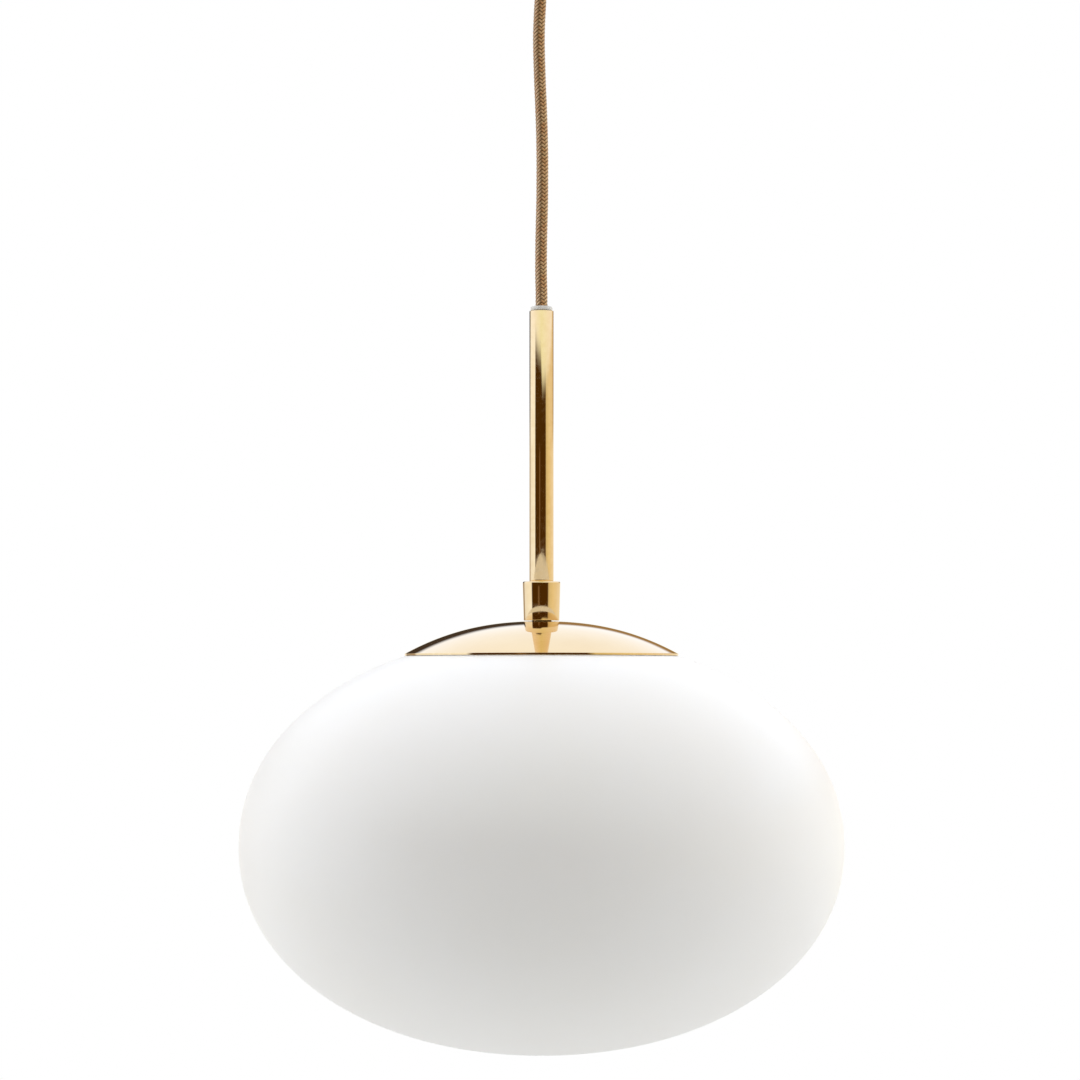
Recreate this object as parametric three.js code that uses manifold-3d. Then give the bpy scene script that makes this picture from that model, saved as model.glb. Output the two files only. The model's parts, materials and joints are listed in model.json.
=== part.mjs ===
// Pendant ceiling light: a ceiling cup and cord gland, a textile cord, a brass stem with a coupler
// and a dome cap, and a wide opal glass globe round a screw-in lamp.
// Millimetres, +Z up. The origin is the middle of the face that lies against the ceiling.

import * as THREE from 'three';
import { mergeVertices } from 'three/addons/utils/BufferGeometryUtils.js';
import Module from 'manifold-3d';

const wasm = await Module();
wasm.setup();

// ---- Driving sizes ----

const fitGap = 0.3; // left between pieces that touch, and round what passes through a hole

// Ceiling plate and the bridge under it
const plateRadius = 42;
const plateThickness = 2;
const plateSlotRadius = 2.75;
const plateSlotLength = 12;
const plateSlotGap = 7; // from the end of the bridge's foot to the middle of each slot
const supplyHoleRadius = 7;
const supplyHoleReach = 26;
const bridgeDepth = 13; // from the plate down to the top of its web
const bridgeThickness = 2;
const bridgeMargin = 3.7; // of the web on each side of the gland's hole
const bridgeFoot = 9;
const bridgeNutGap = 1.4; // between the lock nut's corners and the legs
const bridgeRivetRadius = 1.5;
const earthScrewPlace = [15, 22];

// Ceiling cup and its ring nut
const cupRadius = 50;
const cupHeight = 28;
const cupWall = 1.2;
const cupCorner = 8;
const ringNutWall = 4.7;
const ringNutHeight = 5;
const ringNutTeeth = 24;

// Cord gland
const glandRadius = 10;
const glandBore = 6;
const glandShoulderStep = 3;
const glandShoulderHeight = 2.7;
const glandMouthDepth = 42; // from the ceiling down to the mouth
const lockNutWall = 3.2; // at its flats
const lockNutHeight = 3.4;
const colletLength = 12;
const clampScrewRadius = 2;
const clampScrewDepth = 23.4;

// Terminal block
const blockLength = 16;
const blockWidth = 18;
const blockHeight = 13;
const blockReach = 29;
const blockPole = 4.5; // from the middle to each pole, and to each of a pole's two screws
const blockBore = 2;
const blockScrewRadius = 1.5;

// Cord and its conductors
const cordRadius = 3;
const cordFreeLength = 173; // height from the gland's mouth down to the stem's bush
const cordBendLength = 5;
const wireRadius = 1;

// Stem
const stemRadius = 6;
const stemWall = 1;
const stemLength = 135; // what shows between the bush and the coupler
const bushFlangeRadius = 5.4;
const bushFlangeHeight = 2;
const bushDepth = 12;
const couplerTopRadius = 9.35;
const couplerBottomRadius = 8.85;
const couplerHeight = 19.4;
const couplerSocket = 12;
const couplerEdge = 0.8;
const nippleRadius = 5;
const nippleClearance = 0.7; // round the cord

// Dome cap
const capOverlap = 16; // past the edge of the globe's mouth
const capDepth = 16.2;
const capCurve = 2.3; // power of the crown's curve: flat in the middle, tighter towards the rim
const capWall = 1;

// Glass carrier and its spring arms
const carrierClearance = 0.6; // under the cap at the ends of the arms
const carrierThickness = 1.5;
const carrierHub = 17;
const carrierInset = 6; // from the edge of the globe's mouth in to the ends of the arms
const carrierArmWidth = 14;
const spacerRadius = 9;
const carrierNutAcrossFlats = 14;
const carrierNutHeight = 3.5;
const springCount = 3;
const springWidth = 10;
const springThickness = 0.8;
const springRivetInset = 9; // from the end of each arm
const springRivetRadius = 1.6;

// Glass globe
const globeRadius = 150;
const globeRise = 104.5; // from the equator up to where the crown would close
const globeDrop = 102.5; // from the equator down to the lowest point
const globeRoundness = 2.08; // 2 is an ellipse, more is squarer
const globeWall = 3;
const globeMouth = 52;
const gasketInset = 1.5; // from the edge of the mouth out to the gasket
const gasketWidth = 7;

// Lampholder
const holderRadius = 19.5;
const holderWall = 2;
const holderNutGap = 1; // from the carrier's nut down to the holder's collar
const holderCapHeight = 12.5;
const holderShellHeight = 42;
const holderCollarRadius = 8;
const holderCollarHeight = 7.5;
const holderInsertDepth = 9; // from the shell's top down to the insert
const holderInsertThickness = 6;
const contactReach = 4.6; // from under the insert down to the lamp's tip
const screwShellHeight = 24;
const screwShellWall = 0.5;
const terminalSize = 6;
const terminalReach = 10;

// Lamp (bulb)
const lampBaseRadius = 13;
const lampLength = 110;
const lampTipRadius = 4.8;
const lampTipHeight = 2;
const lampInsulatorHeight = 3.8;
const lampBaseHeight = 18;
const lampThreadPitch = 3.629;
const lampThreadDepth = 0.8;
const lampHousingHeight = 35;
const lampRadius = 30;
const lampMouthRadius = 27.6;
const lampWall = 1.2;
const ledBoardThickness = 1.5;

// The hanging cord's middle line, from under the gland to the top of the bush
const cordRoute = [
  [0, 0, -47.6],
  [-0.2, 0, -56],
  [-0.9, 0.2, -68],
  [-1.3, 0.3, -80],
  [-1.1, 0.4, -92],
  [-0.7, 0.4, -104],
  [-0.2, 0.3, -116],
  [0.2, 0.2, -128],
  [0.4, 0, -140],
  [0.4, -0.2, -152],
  [0.3, -0.3, -164],
  [0, -0.3, -176],
  [-0.2, -0.2, -188],
  [-0.2, -0.1, -200],
  [0, 0, -208],
  [0, 0, -214.7],
];

// ---- Sizes and heights worked out from the driving sizes ----

const glandShoulder = glandRadius + glandShoulderStep;
const ringNutRadius = glandRadius + fitGap + ringNutWall;
const lockNutAcrossFlats = 2 * (glandRadius + fitGap + lockNutWall);
const bridgeWidth = 2 * (glandRadius + fitGap + bridgeMargin);
const bridgeSpan = 2 * (lockNutAcrossFlats / Math.sqrt(3) + bridgeNutGap) + bridgeThickness;
const plateSlotReach = bridgeSpan / 2 + bridgeFoot + plateSlotGap;
const nippleBore = cordRadius + nippleClearance;
const capRadius = globeMouth + capOverlap;
const gasketInner = globeMouth + gasketInset;
const carrierReach = globeMouth - carrierInset;
const springRivetReach = carrierReach - springRivetInset;
const carrierDrop = carrierClearance - capUnderside(Math.hypot(carrierReach, carrierArmWidth / 2));
const holderDrop = carrierDrop + carrierThickness + fitGap + carrierNutHeight + holderNutGap;

const footMiddle = -plateThickness - fitGap - bridgeThickness / 2;
const bridgeRivetReach = bridgeSpan / 2 + bridgeFoot / 2 + 1;
const webTop = -plateThickness - bridgeDepth;
const webBottom = webTop - bridgeThickness;
const bushTop = -glandMouthDepth - cordFreeLength;
const stemTop = bushTop - bushFlangeHeight - fitGap;
const couplerTop = stemTop - stemLength;
const capTop = couplerTop - couplerHeight - fitGap;
const holderTop = capTop - holderDrop;
const holderShellTop = -holderCapHeight - fitGap; // this and the next three are below the holder's top
const insertTop = holderShellTop - holderInsertDepth;
const insertBottom = insertTop - holderInsertThickness;
const lampTip = insertBottom - fitGap - contactReach;
const equator = -capDepth - capWall - fitGap - globeHeight(capRadius, 0); // below the cap's top

// ---- Finishes ----

const finishes = {
  polishedBrass: { color: 0xd8b26a, roughness: 0.12, metalness: 1 },
  plainBrass: { color: 0xc39b54, roughness: 0.35, metalness: 1 },
  steel: { color: 0xb4b6b8, roughness: 0.35, metalness: 1 },
  whitePlastic: { color: 0xe6e4dd, roughness: 0.45, metalness: 0 },
  blackPlastic: { color: 0x1b1b1c, roughness: 0.4, metalness: 0 },
  goldTextile: { color: 0x9c7d5b, roughness: 0.9, metalness: 0 },
  opalGlass: { color: 0xf3f2ee, roughness: 0.35, metalness: 0 },
  rubber: { color: 0xd9d7d0, roughness: 0.8, metalness: 0 },
  brownWire: { color: 0x5a3420, roughness: 0.6, metalness: 0 },
  blueWire: { color: 0x2a5fa8, roughness: 0.6, metalness: 0 },
  greenWire: { color: 0x5f8f2c, roughness: 0.6, metalness: 0 },
};

function add(group, name, geometry, finish) {
  const mesh = new THREE.Mesh(geometry, new THREE.MeshStandardMaterial(finishes[finish]));
  mesh.name = name;
  group.add(mesh);
  return mesh;
}

// ---- Shape helpers ----

// Turns an outline of [radius, height] points, listed anticlockwise, about Z.
function turned(outline, sides = 32) {
  const points = outline.map(([radius, height]) => new THREE.Vector2(radius, height));
  if (outline[0][0] > 0) points.push(points[0].clone());
  return new THREE.LatheGeometry(points, sides).rotateX(Math.PI / 2);
}

function ring(innerRadius, outerRadius, low, high, sides = 32) {
  return turned([[innerRadius, low], [outerRadius, low], [outerRadius, high], [innerRadius, high]], sides);
}

function disc(radius, low, high, sides = 16) {
  return turned([[0, low], [radius, low], [radius, high], [0, high]], sides);
}

// A quarter-round corner of an outline, as points from one angle to another.
function corner(centreRadius, centreHeight, radius, fromDegrees, toDegrees, steps = 4) {
  const points = [];
  for (let i = 0; i <= steps; i++) {
    const angle = THREE.MathUtils.degToRad(fromDegrees + ((toDegrees - fromDegrees) * i) / steps);
    points.push([centreRadius + radius * Math.cos(angle), centreHeight + radius * Math.sin(angle)]);
  }
  return points;
}

function extruded(shape, low, height, curveSegments = 12) {
  const settings = { depth: height, bevelEnabled: false, curveSegments };
  return new THREE.ExtrudeGeometry(shape, settings).translate(0, 0, low);
}

function circlePath(x, y, radius) {
  return new THREE.Path().absarc(x, y, radius, 0, Math.PI * 2);
}

function hexNut(acrossFlats, bore, low, height) {
  const corners = [];
  for (let i = 0; i < 6; i++) {
    const angle = (i * Math.PI) / 3;
    const reach = acrossFlats / Math.sqrt(3);
    corners.push(new THREE.Vector2(reach * Math.cos(angle), reach * Math.sin(angle)));
  }
  const shape = new THREE.Shape(corners);
  shape.holes.push(circlePath(0, 0, bore));
  return extruded(shape, low, height);
}

// A bent strip: a line of [x, z] points given a thickness, and a width along Y.
function strip(line, thickness, width) {
  const points = line.map(([x, z]) => new THREE.Vector2(x, z));
  const near = [];
  const far = [];
  points.forEach((point, i) => {
    const before = point.clone().sub(points[Math.max(i - 1, 0)]).normalize();
    const after = points[Math.min(i + 1, points.length - 1)].clone().sub(point).normalize();
    const along = before.clone().add(after).normalize();
    const side = new THREE.Vector2(-along.y, along.x);
    const lead = i > 0 ? before : after;
    const reach = thickness / 2 / side.dot(new THREE.Vector2(-lead.y, lead.x));
    near.push(point.clone().addScaledVector(side, reach));
    far.unshift(point.clone().addScaledVector(side, -reach));
  });
  const geometry = extruded(new THREE.Shape([...near, ...far]), -width / 2, width);
  return geometry.rotateX(Math.PI / 2);
}

// A round tube whose middle line runs smoothly through the points.
function tubeAlong(route, radius, sides, steps) {
  const path = new THREE.CatmullRomCurve3(route.map((point) => new THREE.Vector3(...point)));
  const section = new THREE.Shape();
  for (let i = 0; i < sides; i++) {
    const angle = (i * 2 * Math.PI) / sides;
    const place = [radius * Math.cos(angle), radius * Math.sin(angle)];
    if (i === 0) section.moveTo(...place);
    else section.lineTo(...place);
  }
  return new THREE.ExtrudeGeometry(section, { steps, extrudePath: path, bevelEnabled: false });
}

function solid(geometry) {
  const plain = geometry.clone();
  plain.deleteAttribute('normal');
  plain.deleteAttribute('uv');
  const merged = mergeVertices(plain, 1e-3);
  const vertProperties = new Float32Array(merged.attributes.position.array);
  const triVerts = new Uint32Array(merged.index.array);
  return new wasm.Manifold(new wasm.Mesh({ numProp: 3, vertProperties, triVerts }));
}

// The first geometry with all the others cut out of it.
function cut(geometry, ...tools) {
  const left = tools.reduce((body, tool) => body.subtract(solid(tool)), solid(geometry));
  const mesh = left.getMesh();
  const positions = new Float32Array(mesh.numVert * 3);
  for (let i = 0; i < mesh.numVert; i++) {
    positions.set(mesh.vertProperties.subarray(i * mesh.numProp, i * mesh.numProp + 3), i * 3);
  }
  const geometryLeft = new THREE.BufferGeometry();
  geometryLeft.setAttribute('position', new THREE.BufferAttribute(positions, 3));
  geometryLeft.setIndex(new THREE.BufferAttribute(new Uint32Array(mesh.triVerts), 1));
  return geometryLeft;
}

// A screw along Z with a slot across its lower end.
function slottedScrew(radius, length, headRadius, headHeight) {
  const outline = [
    [0, -headHeight],
    [headRadius, -headHeight],
    [headRadius, 0],
    [radius, 0],
    [radius, length],
    [0, length],
  ];
  const slotDepth = headHeight * 0.45;
  const slot = new THREE.BoxGeometry(headRadius * 3, headRadius * 0.35, slotDepth * 2);
  return cut(turned(outline, 12), slot.translate(0, 0, -headHeight));
}

// ---- Ceiling: what is fixed to the building ----

function addCeilingPlate(group) {
  const low = -plateThickness - 1;
  const screwHole = disc(blockScrewRadius + fitGap, low, 1, 12);
  const tools = [
    disc(supplyHoleRadius, low, 1, 24).translate(0, supplyHoleReach, 0),
    screwHole.clone().translate(0, -blockReach, 0),
    screwHole.clone().translate(earthScrewPlace[0], earthScrewPlace[1], 0),
  ];
  for (const side of [-1, 1]) {
    const x = side * plateSlotReach;
    const half = plateSlotLength / 2 - plateSlotRadius;
    const slot = new THREE.Shape();
    slot.absarc(x, half, plateSlotRadius, 0, Math.PI);
    slot.absarc(x, -half, plateSlotRadius, Math.PI, Math.PI * 2);
    tools.push(extruded(slot, low, 1 - low, 8));
    tools.push(disc(bridgeRivetRadius + fitGap, low, 1, 12).translate(side * bridgeRivetReach, 0, 0));
  }
  add(group, 'ceiling_plate', cut(disc(plateRadius, -plateThickness, 0, 64), ...tools), 'steel');
}

function addGlandBridge(group) {
  const leg = bridgeSpan / 2;
  const line = [
    [-leg - bridgeFoot, footMiddle],
    [-leg, footMiddle],
    [-leg, webTop - bridgeThickness / 2],
    [leg, webTop - bridgeThickness / 2],
    [leg, footMiddle],
    [leg + bridgeFoot, footMiddle],
  ];
  const holes = [disc(glandRadius + fitGap, webBottom - 1, webTop + 1, 28)];
  for (const side of [-1, 1]) {
    const hole = disc(bridgeRivetRadius + fitGap, footMiddle - 2, footMiddle + 2, 12);
    holes.push(hole.translate(side * bridgeRivetReach, 0, 0));
  }
  add(group, 'gland_bridge', cut(strip(line, bridgeThickness, bridgeWidth), ...holes), 'steel');

  for (const [side, name] of [[-1, 'bridge_rivet_left'], [1, 'bridge_rivet_right']]) {
    const footBottom = footMiddle - bridgeThickness / 2 - fitGap;
    const outline = [
      [0, footBottom - 1.4],
      [1.8, footBottom - 1.4],
      [3, footBottom - 0.5],
      [3, footBottom],
      [bridgeRivetRadius, footBottom],
      [bridgeRivetRadius, -0.4],
      [0, -0.4],
    ];
    const rivet = add(group, name, turned(outline, 16), 'steel');
    rivet.position.x = side * bridgeRivetReach;
  }
}

function addGland(group) {
  const top = webTop + fitGap + lockNutHeight + 0.8;
  const shoulderTop = webBottom - fitGap;
  const shoulderBottom = shoulderTop - glandShoulderHeight;
  const chamfer = 0.8;
  const outline = [
    [glandBore, -glandMouthDepth],
    [glandRadius - chamfer, -glandMouthDepth],
    [glandRadius, -glandMouthDepth + chamfer],
    [glandRadius, shoulderBottom],
    [glandShoulder, shoulderBottom],
    [glandShoulder, shoulderTop],
    [glandRadius, shoulderTop],
    [glandRadius, top],
    [glandBore, top],
  ];
  const screwHole = disc(clampScrewRadius + fitGap, 0, glandRadius * 2, 16).rotateY(Math.PI / 2);
  const tube = cut(turned(outline, 28), screwHole.translate(0, 0, -clampScrewDepth));
  add(group, 'gland_tube', tube, 'polishedBrass');

  const nut = hexNut(lockNutAcrossFlats, glandRadius + fitGap, webTop + fitGap, lockNutHeight);
  add(group, 'gland_lock_nut', nut, 'plainBrass');

  const colletTop = colletLength - glandMouthDepth;
  const collet = ring(cordRadius + fitGap, glandBore - fitGap, -glandMouthDepth, colletTop, 24);
  add(group, 'cord_collet', collet, 'whitePlastic');

  const screwLength = glandRadius - cordRadius - fitGap;
  const screw = add(
    group,
    'cord_clamp_screw',
    slottedScrew(clampScrewRadius, screwLength, clampScrewRadius * 1.3, 3),
    'whitePlastic',
  );
  screw.rotation.y = -Math.PI / 2;
  screw.position.set(glandRadius + fitGap, 0, -clampScrewDepth);

  add(group, 'cord_in_gland', disc(cordRadius, -glandMouthDepth + 1, webTop + 1.5, 12), 'goldTextile');
}

function addTerminalBlock(group) {
  const top = -plateThickness - fitGap;
  const block = new THREE.BoxGeometry(blockWidth, blockLength, blockHeight);
  block.translate(0, -blockReach, top - blockHeight / 2);
  const boreHeight = top - blockHeight / 2;
  const tools = [];
  const wells = [];
  for (const side of [-1, 1]) {
    const x = side * blockPole;
    const bore = disc(blockBore, -blockLength, blockLength, 16).rotateX(Math.PI / 2);
    tools.push(bore.translate(x, -blockReach, boreHeight));
    for (const end of [-1, 1]) {
      wells.push([x, -blockReach + end * blockPole]);
    }
  }
  for (const [x, y] of wells) {
    const well = disc(blockScrewRadius + fitGap, -blockHeight, 0, 12);
    tools.push(well.translate(x, y, boreHeight));
  }
  const fixingHole = disc(blockScrewRadius + fitGap, -blockHeight * 2, 0, 12);
  tools.push(fixingHole.translate(0, -blockReach, 0));
  const recess = disc(1.8 + fitGap, -blockHeight, 0, 16);
  tools.push(recess.translate(0, -blockReach, top - blockHeight + 3.5));
  add(group, 'terminal_block', cut(block, ...tools), 'whitePlastic');

  wells.forEach(([x, y], i) => {
    const screw = slottedScrew(blockScrewRadius - 0.2, 1.6, blockScrewRadius, 2);
    const mesh = add(group, 'terminal_screw_' + (i + 1), screw, 'steel');
    mesh.position.set(x, y, top - blockHeight + 2.6);
  });

  const fixing = slottedScrew(blockScrewRadius, blockHeight - 1.8, 1.8, 2);
  const fixingMesh = add(group, 'block_fixing_screw', fixing, 'steel');
  fixingMesh.position.set(0, -blockReach, top - blockHeight + 3.1);

  const earth = slottedScrew(blockScrewRadius, plateThickness, 3, 2);
  const earthMesh = add(group, 'earth_screw', earth, 'plainBrass');
  earthMesh.position.set(earthScrewPlace[0], earthScrewPlace[1], -plateThickness - fitGap);
}

function addCeilingWires(group) {
  const cordEnd = webTop + 1.5 + fitGap;
  const boreHeight = -plateThickness - fitGap - blockHeight / 2;
  const entry = -blockReach + blockLength / 2 - 2;
  for (const [side, name, finish] of [[-1, 'live_wire', 'brownWire'], [1, 'neutral_wire', 'blueWire']]) {
    const route = [
      [side * 1.6, -0.8, cordEnd],
      [side * 1.7, -1.2, cordEnd + 4],
      [side * 2.4, -6, cordEnd + 6.2],
      [side * 3.6, -12, cordEnd + 5.6],
      [side * blockPole, -17, boreHeight + 0.4],
      [side * blockPole, entry, boreHeight],
    ];
    add(group, name, tubeAlong(route, wireRadius, 8, 12), finish);
  }
  const [x, y] = earthScrewPlace;
  const earthRoute = [
    [0, 1.8, cordEnd],
    [0, 2, cordEnd + 4],
    [2.5, 8, cordEnd + 6],
    [8, 15, cordEnd + 6.6],
    [x - 3.8, y - 2, -plateThickness - fitGap - wireRadius],
  ];
  add(group, 'earth_wire', tubeAlong(earthRoute, wireRadius, 8, 12), 'greenWire');
}

function addCup(group) {
  const inner = cupRadius - cupWall;
  const outline = [
    [glandRadius + fitGap, -cupHeight],
    ...corner(cupRadius - cupCorner, cupCorner - cupHeight, cupCorner, -90, 0),
    [cupRadius, -fitGap],
    [inner, -fitGap],
    ...corner(cupRadius - cupCorner, cupCorner - cupHeight, cupCorner - cupWall, 0, -90),
    [glandRadius + fitGap, -cupHeight + cupWall],
  ];
  add(group, 'ceiling_cup', turned(outline, 40), 'polishedBrass');

  const toothDepth = 0.6;
  const points = [];
  for (let i = 0; i < ringNutTeeth * 2; i++) {
    const angle = (i * Math.PI) / ringNutTeeth;
    const radius = i % 2 ? ringNutRadius : ringNutRadius - toothDepth;
    points.push(new THREE.Vector2(radius * Math.cos(angle), radius * Math.sin(angle)));
  }
  const shape = new THREE.Shape(points);
  shape.holes.push(circlePath(0, 0, glandRadius + fitGap));
  const nutTop = -cupHeight - fitGap;
  add(group, 'ring_nut', extruded(shape, nutTop - ringNutHeight, ringNutHeight), 'polishedBrass');
}

// ---- Cord ----

function addCord(group) {
  const bendTop = -glandMouthDepth - fitGap;
  add(group, 'cord_bend', disc(cordRadius, bendTop - cordBendLength, bendTop, 12), 'goldTextile');
  add(group, 'hanging_cord', tubeAlong(cordRoute, cordRadius, 10, 16), 'goldTextile');
}

// ---- Stem: its group's origin is the top of the bush ----

function addStem(group) {
  const bore = cordRadius + fitGap;
  const bushBody = stemRadius - stemWall - fitGap;
  const bushOutline = [
    [bore, -bushFlangeHeight - bushDepth],
    [bushBody, -bushFlangeHeight - bushDepth],
    [bushBody, -bushFlangeHeight],
    [bushFlangeRadius, -bushFlangeHeight],
    [bushFlangeRadius, -0.5],
    [bushFlangeRadius - 0.5, 0],
    [bore, 0],
  ];
  add(group, 'stem_bush', turned(bushOutline, 24), 'whitePlastic');

  const tubeTop = stemTop - bushTop;
  const socketFloor = tubeTop - stemLength - couplerSocket;
  const tube = ring(stemRadius - stemWall, stemRadius, socketFloor + fitGap, tubeTop, 32);
  add(group, 'stem_tube', tube, 'polishedBrass');

  const top = tubeTop - stemLength;
  const bottom = top - couplerHeight;
  const couplerOutline = [
    [nippleRadius + fitGap, bottom],
    [couplerBottomRadius, bottom],
    ...corner(couplerTopRadius - couplerEdge, top - couplerEdge, couplerEdge, 0, 90, 3),
    [stemRadius + fitGap, top],
    [stemRadius + fitGap, socketFloor],
    [nippleRadius + fitGap, socketFloor],
  ];
  add(group, 'stem_coupler', turned(couplerOutline, 32), 'polishedBrass');

  const cordEnd = holderTop - holderCollarHeight - 2 - bushTop;
  add(group, 'cord_in_stem', disc(cordRadius, cordEnd, -1, 12), 'goldTextile');

  const nippleBottom = holderTop - holderCollarHeight - bushTop;
  const nipple = ring(nippleBore, nippleRadius, nippleBottom, socketFloor - fitGap, 24);
  add(group, 'stem_nipple', nipple, 'plainBrass');
}

// ---- Head: its group's origin is the top of the dome cap ----

function capUnderside(radius) {
  return -capWall - capDepth * (radius / capRadius) ** capCurve;
}

function addDomeCap(group) {
  const hole = nippleRadius + fitGap;
  const steps = 8;
  const outer = [];
  const inner = [];
  for (let i = 0; i <= steps; i++) {
    const radius = hole + (capRadius - hole) * Math.sin((i / steps) * (Math.PI / 2));
    inner.push([radius, capUnderside(radius)]);
    outer.unshift([radius, capUnderside(radius) + capWall]);
  }
  add(group, 'dome_cap', turned([...inner, ...outer], 48), 'polishedBrass');
}

function addCarrier(group) {
  const top = -carrierDrop;
  const bottom = top - carrierThickness;
  const shape = new THREE.Shape();
  for (let i = 0; i < springCount; i++) {
    const along = (i * 2 * Math.PI) / springCount;
    const half = carrierArmWidth / 2;
    const root = Math.sqrt(carrierHub ** 2 - half ** 2);
    const spread = Math.asin(half / carrierHub);
    for (const [reach, side] of [[root, -half], [carrierReach, -half], [carrierReach, half], [root, half]]) {
      const x = reach * Math.cos(along) - side * Math.sin(along);
      const y = reach * Math.sin(along) + side * Math.cos(along);
      if (i === 0 && reach === root && side < 0) shape.moveTo(x, y);
      else shape.lineTo(x, y);
    }
    const next = ((i + 1) * 2 * Math.PI) / springCount;
    shape.absarc(0, 0, carrierHub, along + spread, next - spread, false);
  }
  shape.holes.push(circlePath(0, 0, nippleRadius + fitGap));
  const rivetHoles = [];
  for (let i = 0; i < springCount; i++) {
    const angle = (i * 2 * Math.PI) / springCount;
    const hole = disc(springRivetRadius + fitGap, bottom - 1, top + 1, 12);
    const [x, y] = [springRivetReach * Math.cos(angle), springRivetReach * Math.sin(angle)];
    rivetHoles.push(hole.translate(x, y, 0));
  }
  const plate = cut(extruded(shape, bottom, carrierThickness), ...rivetHoles);
  add(group, 'glass_carrier', plate, 'steel');

  const spacerTop = capUnderside(spacerRadius) - fitGap;
  add(group, 'cap_spacer', ring(nippleRadius + fitGap, spacerRadius, top + fitGap, spacerTop, 24), 'steel');
  const nutLow = bottom - fitGap - carrierNutHeight;
  const nut = hexNut(carrierNutAcrossFlats, nippleRadius + fitGap, nutLow, carrierNutHeight);
  add(group, 'carrier_nut', nut, 'steel');

  addSprings(group, bottom - fitGap);
}

// Each spring arm runs out under the carrier, down through the mouth and out below the glass.
function addSprings(group, top) {
  const middle = top - springThickness / 2;
  const passing = globeMouth - 2;
  const tipReach = globeMouth + 8;
  const tip = globeSurface(tipReach, globeWall) - fitGap - springThickness;
  const line = [
    [springRivetReach - 7, middle],
    [passing - 5, middle],
    [passing - 0.8, middle - 4],
    [passing - 0.4, tip + 1],
    [passing + 2.6, tip - 3.4],
    [tipReach, tip],
  ];
  for (let i = 0; i < springCount; i++) {
    const angle = (i * 2 * Math.PI) / springCount;
    const hole = disc(springRivetRadius + fitGap, top - 3, top + 3, 12);
    const arm = cut(strip(line, springThickness, springWidth), hole.translate(springRivetReach, 0, 0));
    const armMesh = add(group, 'spring_arm_' + (i + 1), arm, 'steel');
    armMesh.rotation.z = angle;

    const headTop = top - springThickness - fitGap;
    const outline = [
      [0, headTop - 1.2],
      [2.2, headTop - 1.2],
      [3, headTop],
      [springRivetRadius, headTop],
      [springRivetRadius, top + fitGap + carrierThickness],
      [0, top + fitGap + carrierThickness],
    ];
    const rivet = add(group, 'arm_rivet_' + (i + 1), turned(outline, 16), 'steel');
    rivet.position.set(springRivetReach * Math.cos(angle), springRivetReach * Math.sin(angle), 0);
  }
}

// Height above the equator of the globe's crown at a radius, as far inside the outer face as given.
function globeHeight(radius, inside) {
  const share = Math.min(radius / (globeRadius - inside), 1);
  return (globeRise - inside) * (1 - share ** globeRoundness) ** (1 / globeRoundness);
}

function globeSurface(radius, inside) {
  return equator + globeHeight(radius, inside);
}

// One meridian of the globe from its lowest point to the mouth, as far inside the outer face as given.
function globeMeridian(inside, steps) {
  const reach = globeRadius - inside;
  const last = Math.acos((globeMouth / reach) ** (globeRoundness / 2));
  const points = [];
  for (let i = 0; i <= steps; i++) {
    const angle = -Math.PI / 2 + ((last + Math.PI / 2) * i) / steps;
    const height = angle < 0 ? globeDrop - inside : globeRise - inside;
    const across = i === 0 ? 0 : Math.cos(angle) ** (2 / globeRoundness);
    const up = Math.sign(angle) * Math.abs(Math.sin(angle)) ** (2 / globeRoundness);
    points.push([reach * across, height * up]);
  }
  return points;
}

function addGlobe(group) {
  const steps = 16;
  const outer = globeMeridian(0, steps);
  const inner = globeMeridian(globeWall, steps).reverse();
  const globe = turned([...outer, ...inner], 48);
  add(group, 'opal_glass', globe, 'opalGlass').position.z = equator;

  const gasketSteps = 2;
  const low = [];
  const high = [];
  for (let i = 0; i <= gasketSteps; i++) {
    const radius = gasketInner + (gasketWidth * i) / gasketSteps;
    low.push([radius, globeSurface(radius, 0) + fitGap]);
    high.unshift([radius, capUnderside(radius) - fitGap]);
  }
  add(group, 'glass_gasket', turned([...low, ...high], 40), 'rubber');
}

// ---- Lampholder: its group's origin is the top of its collar ----

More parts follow.
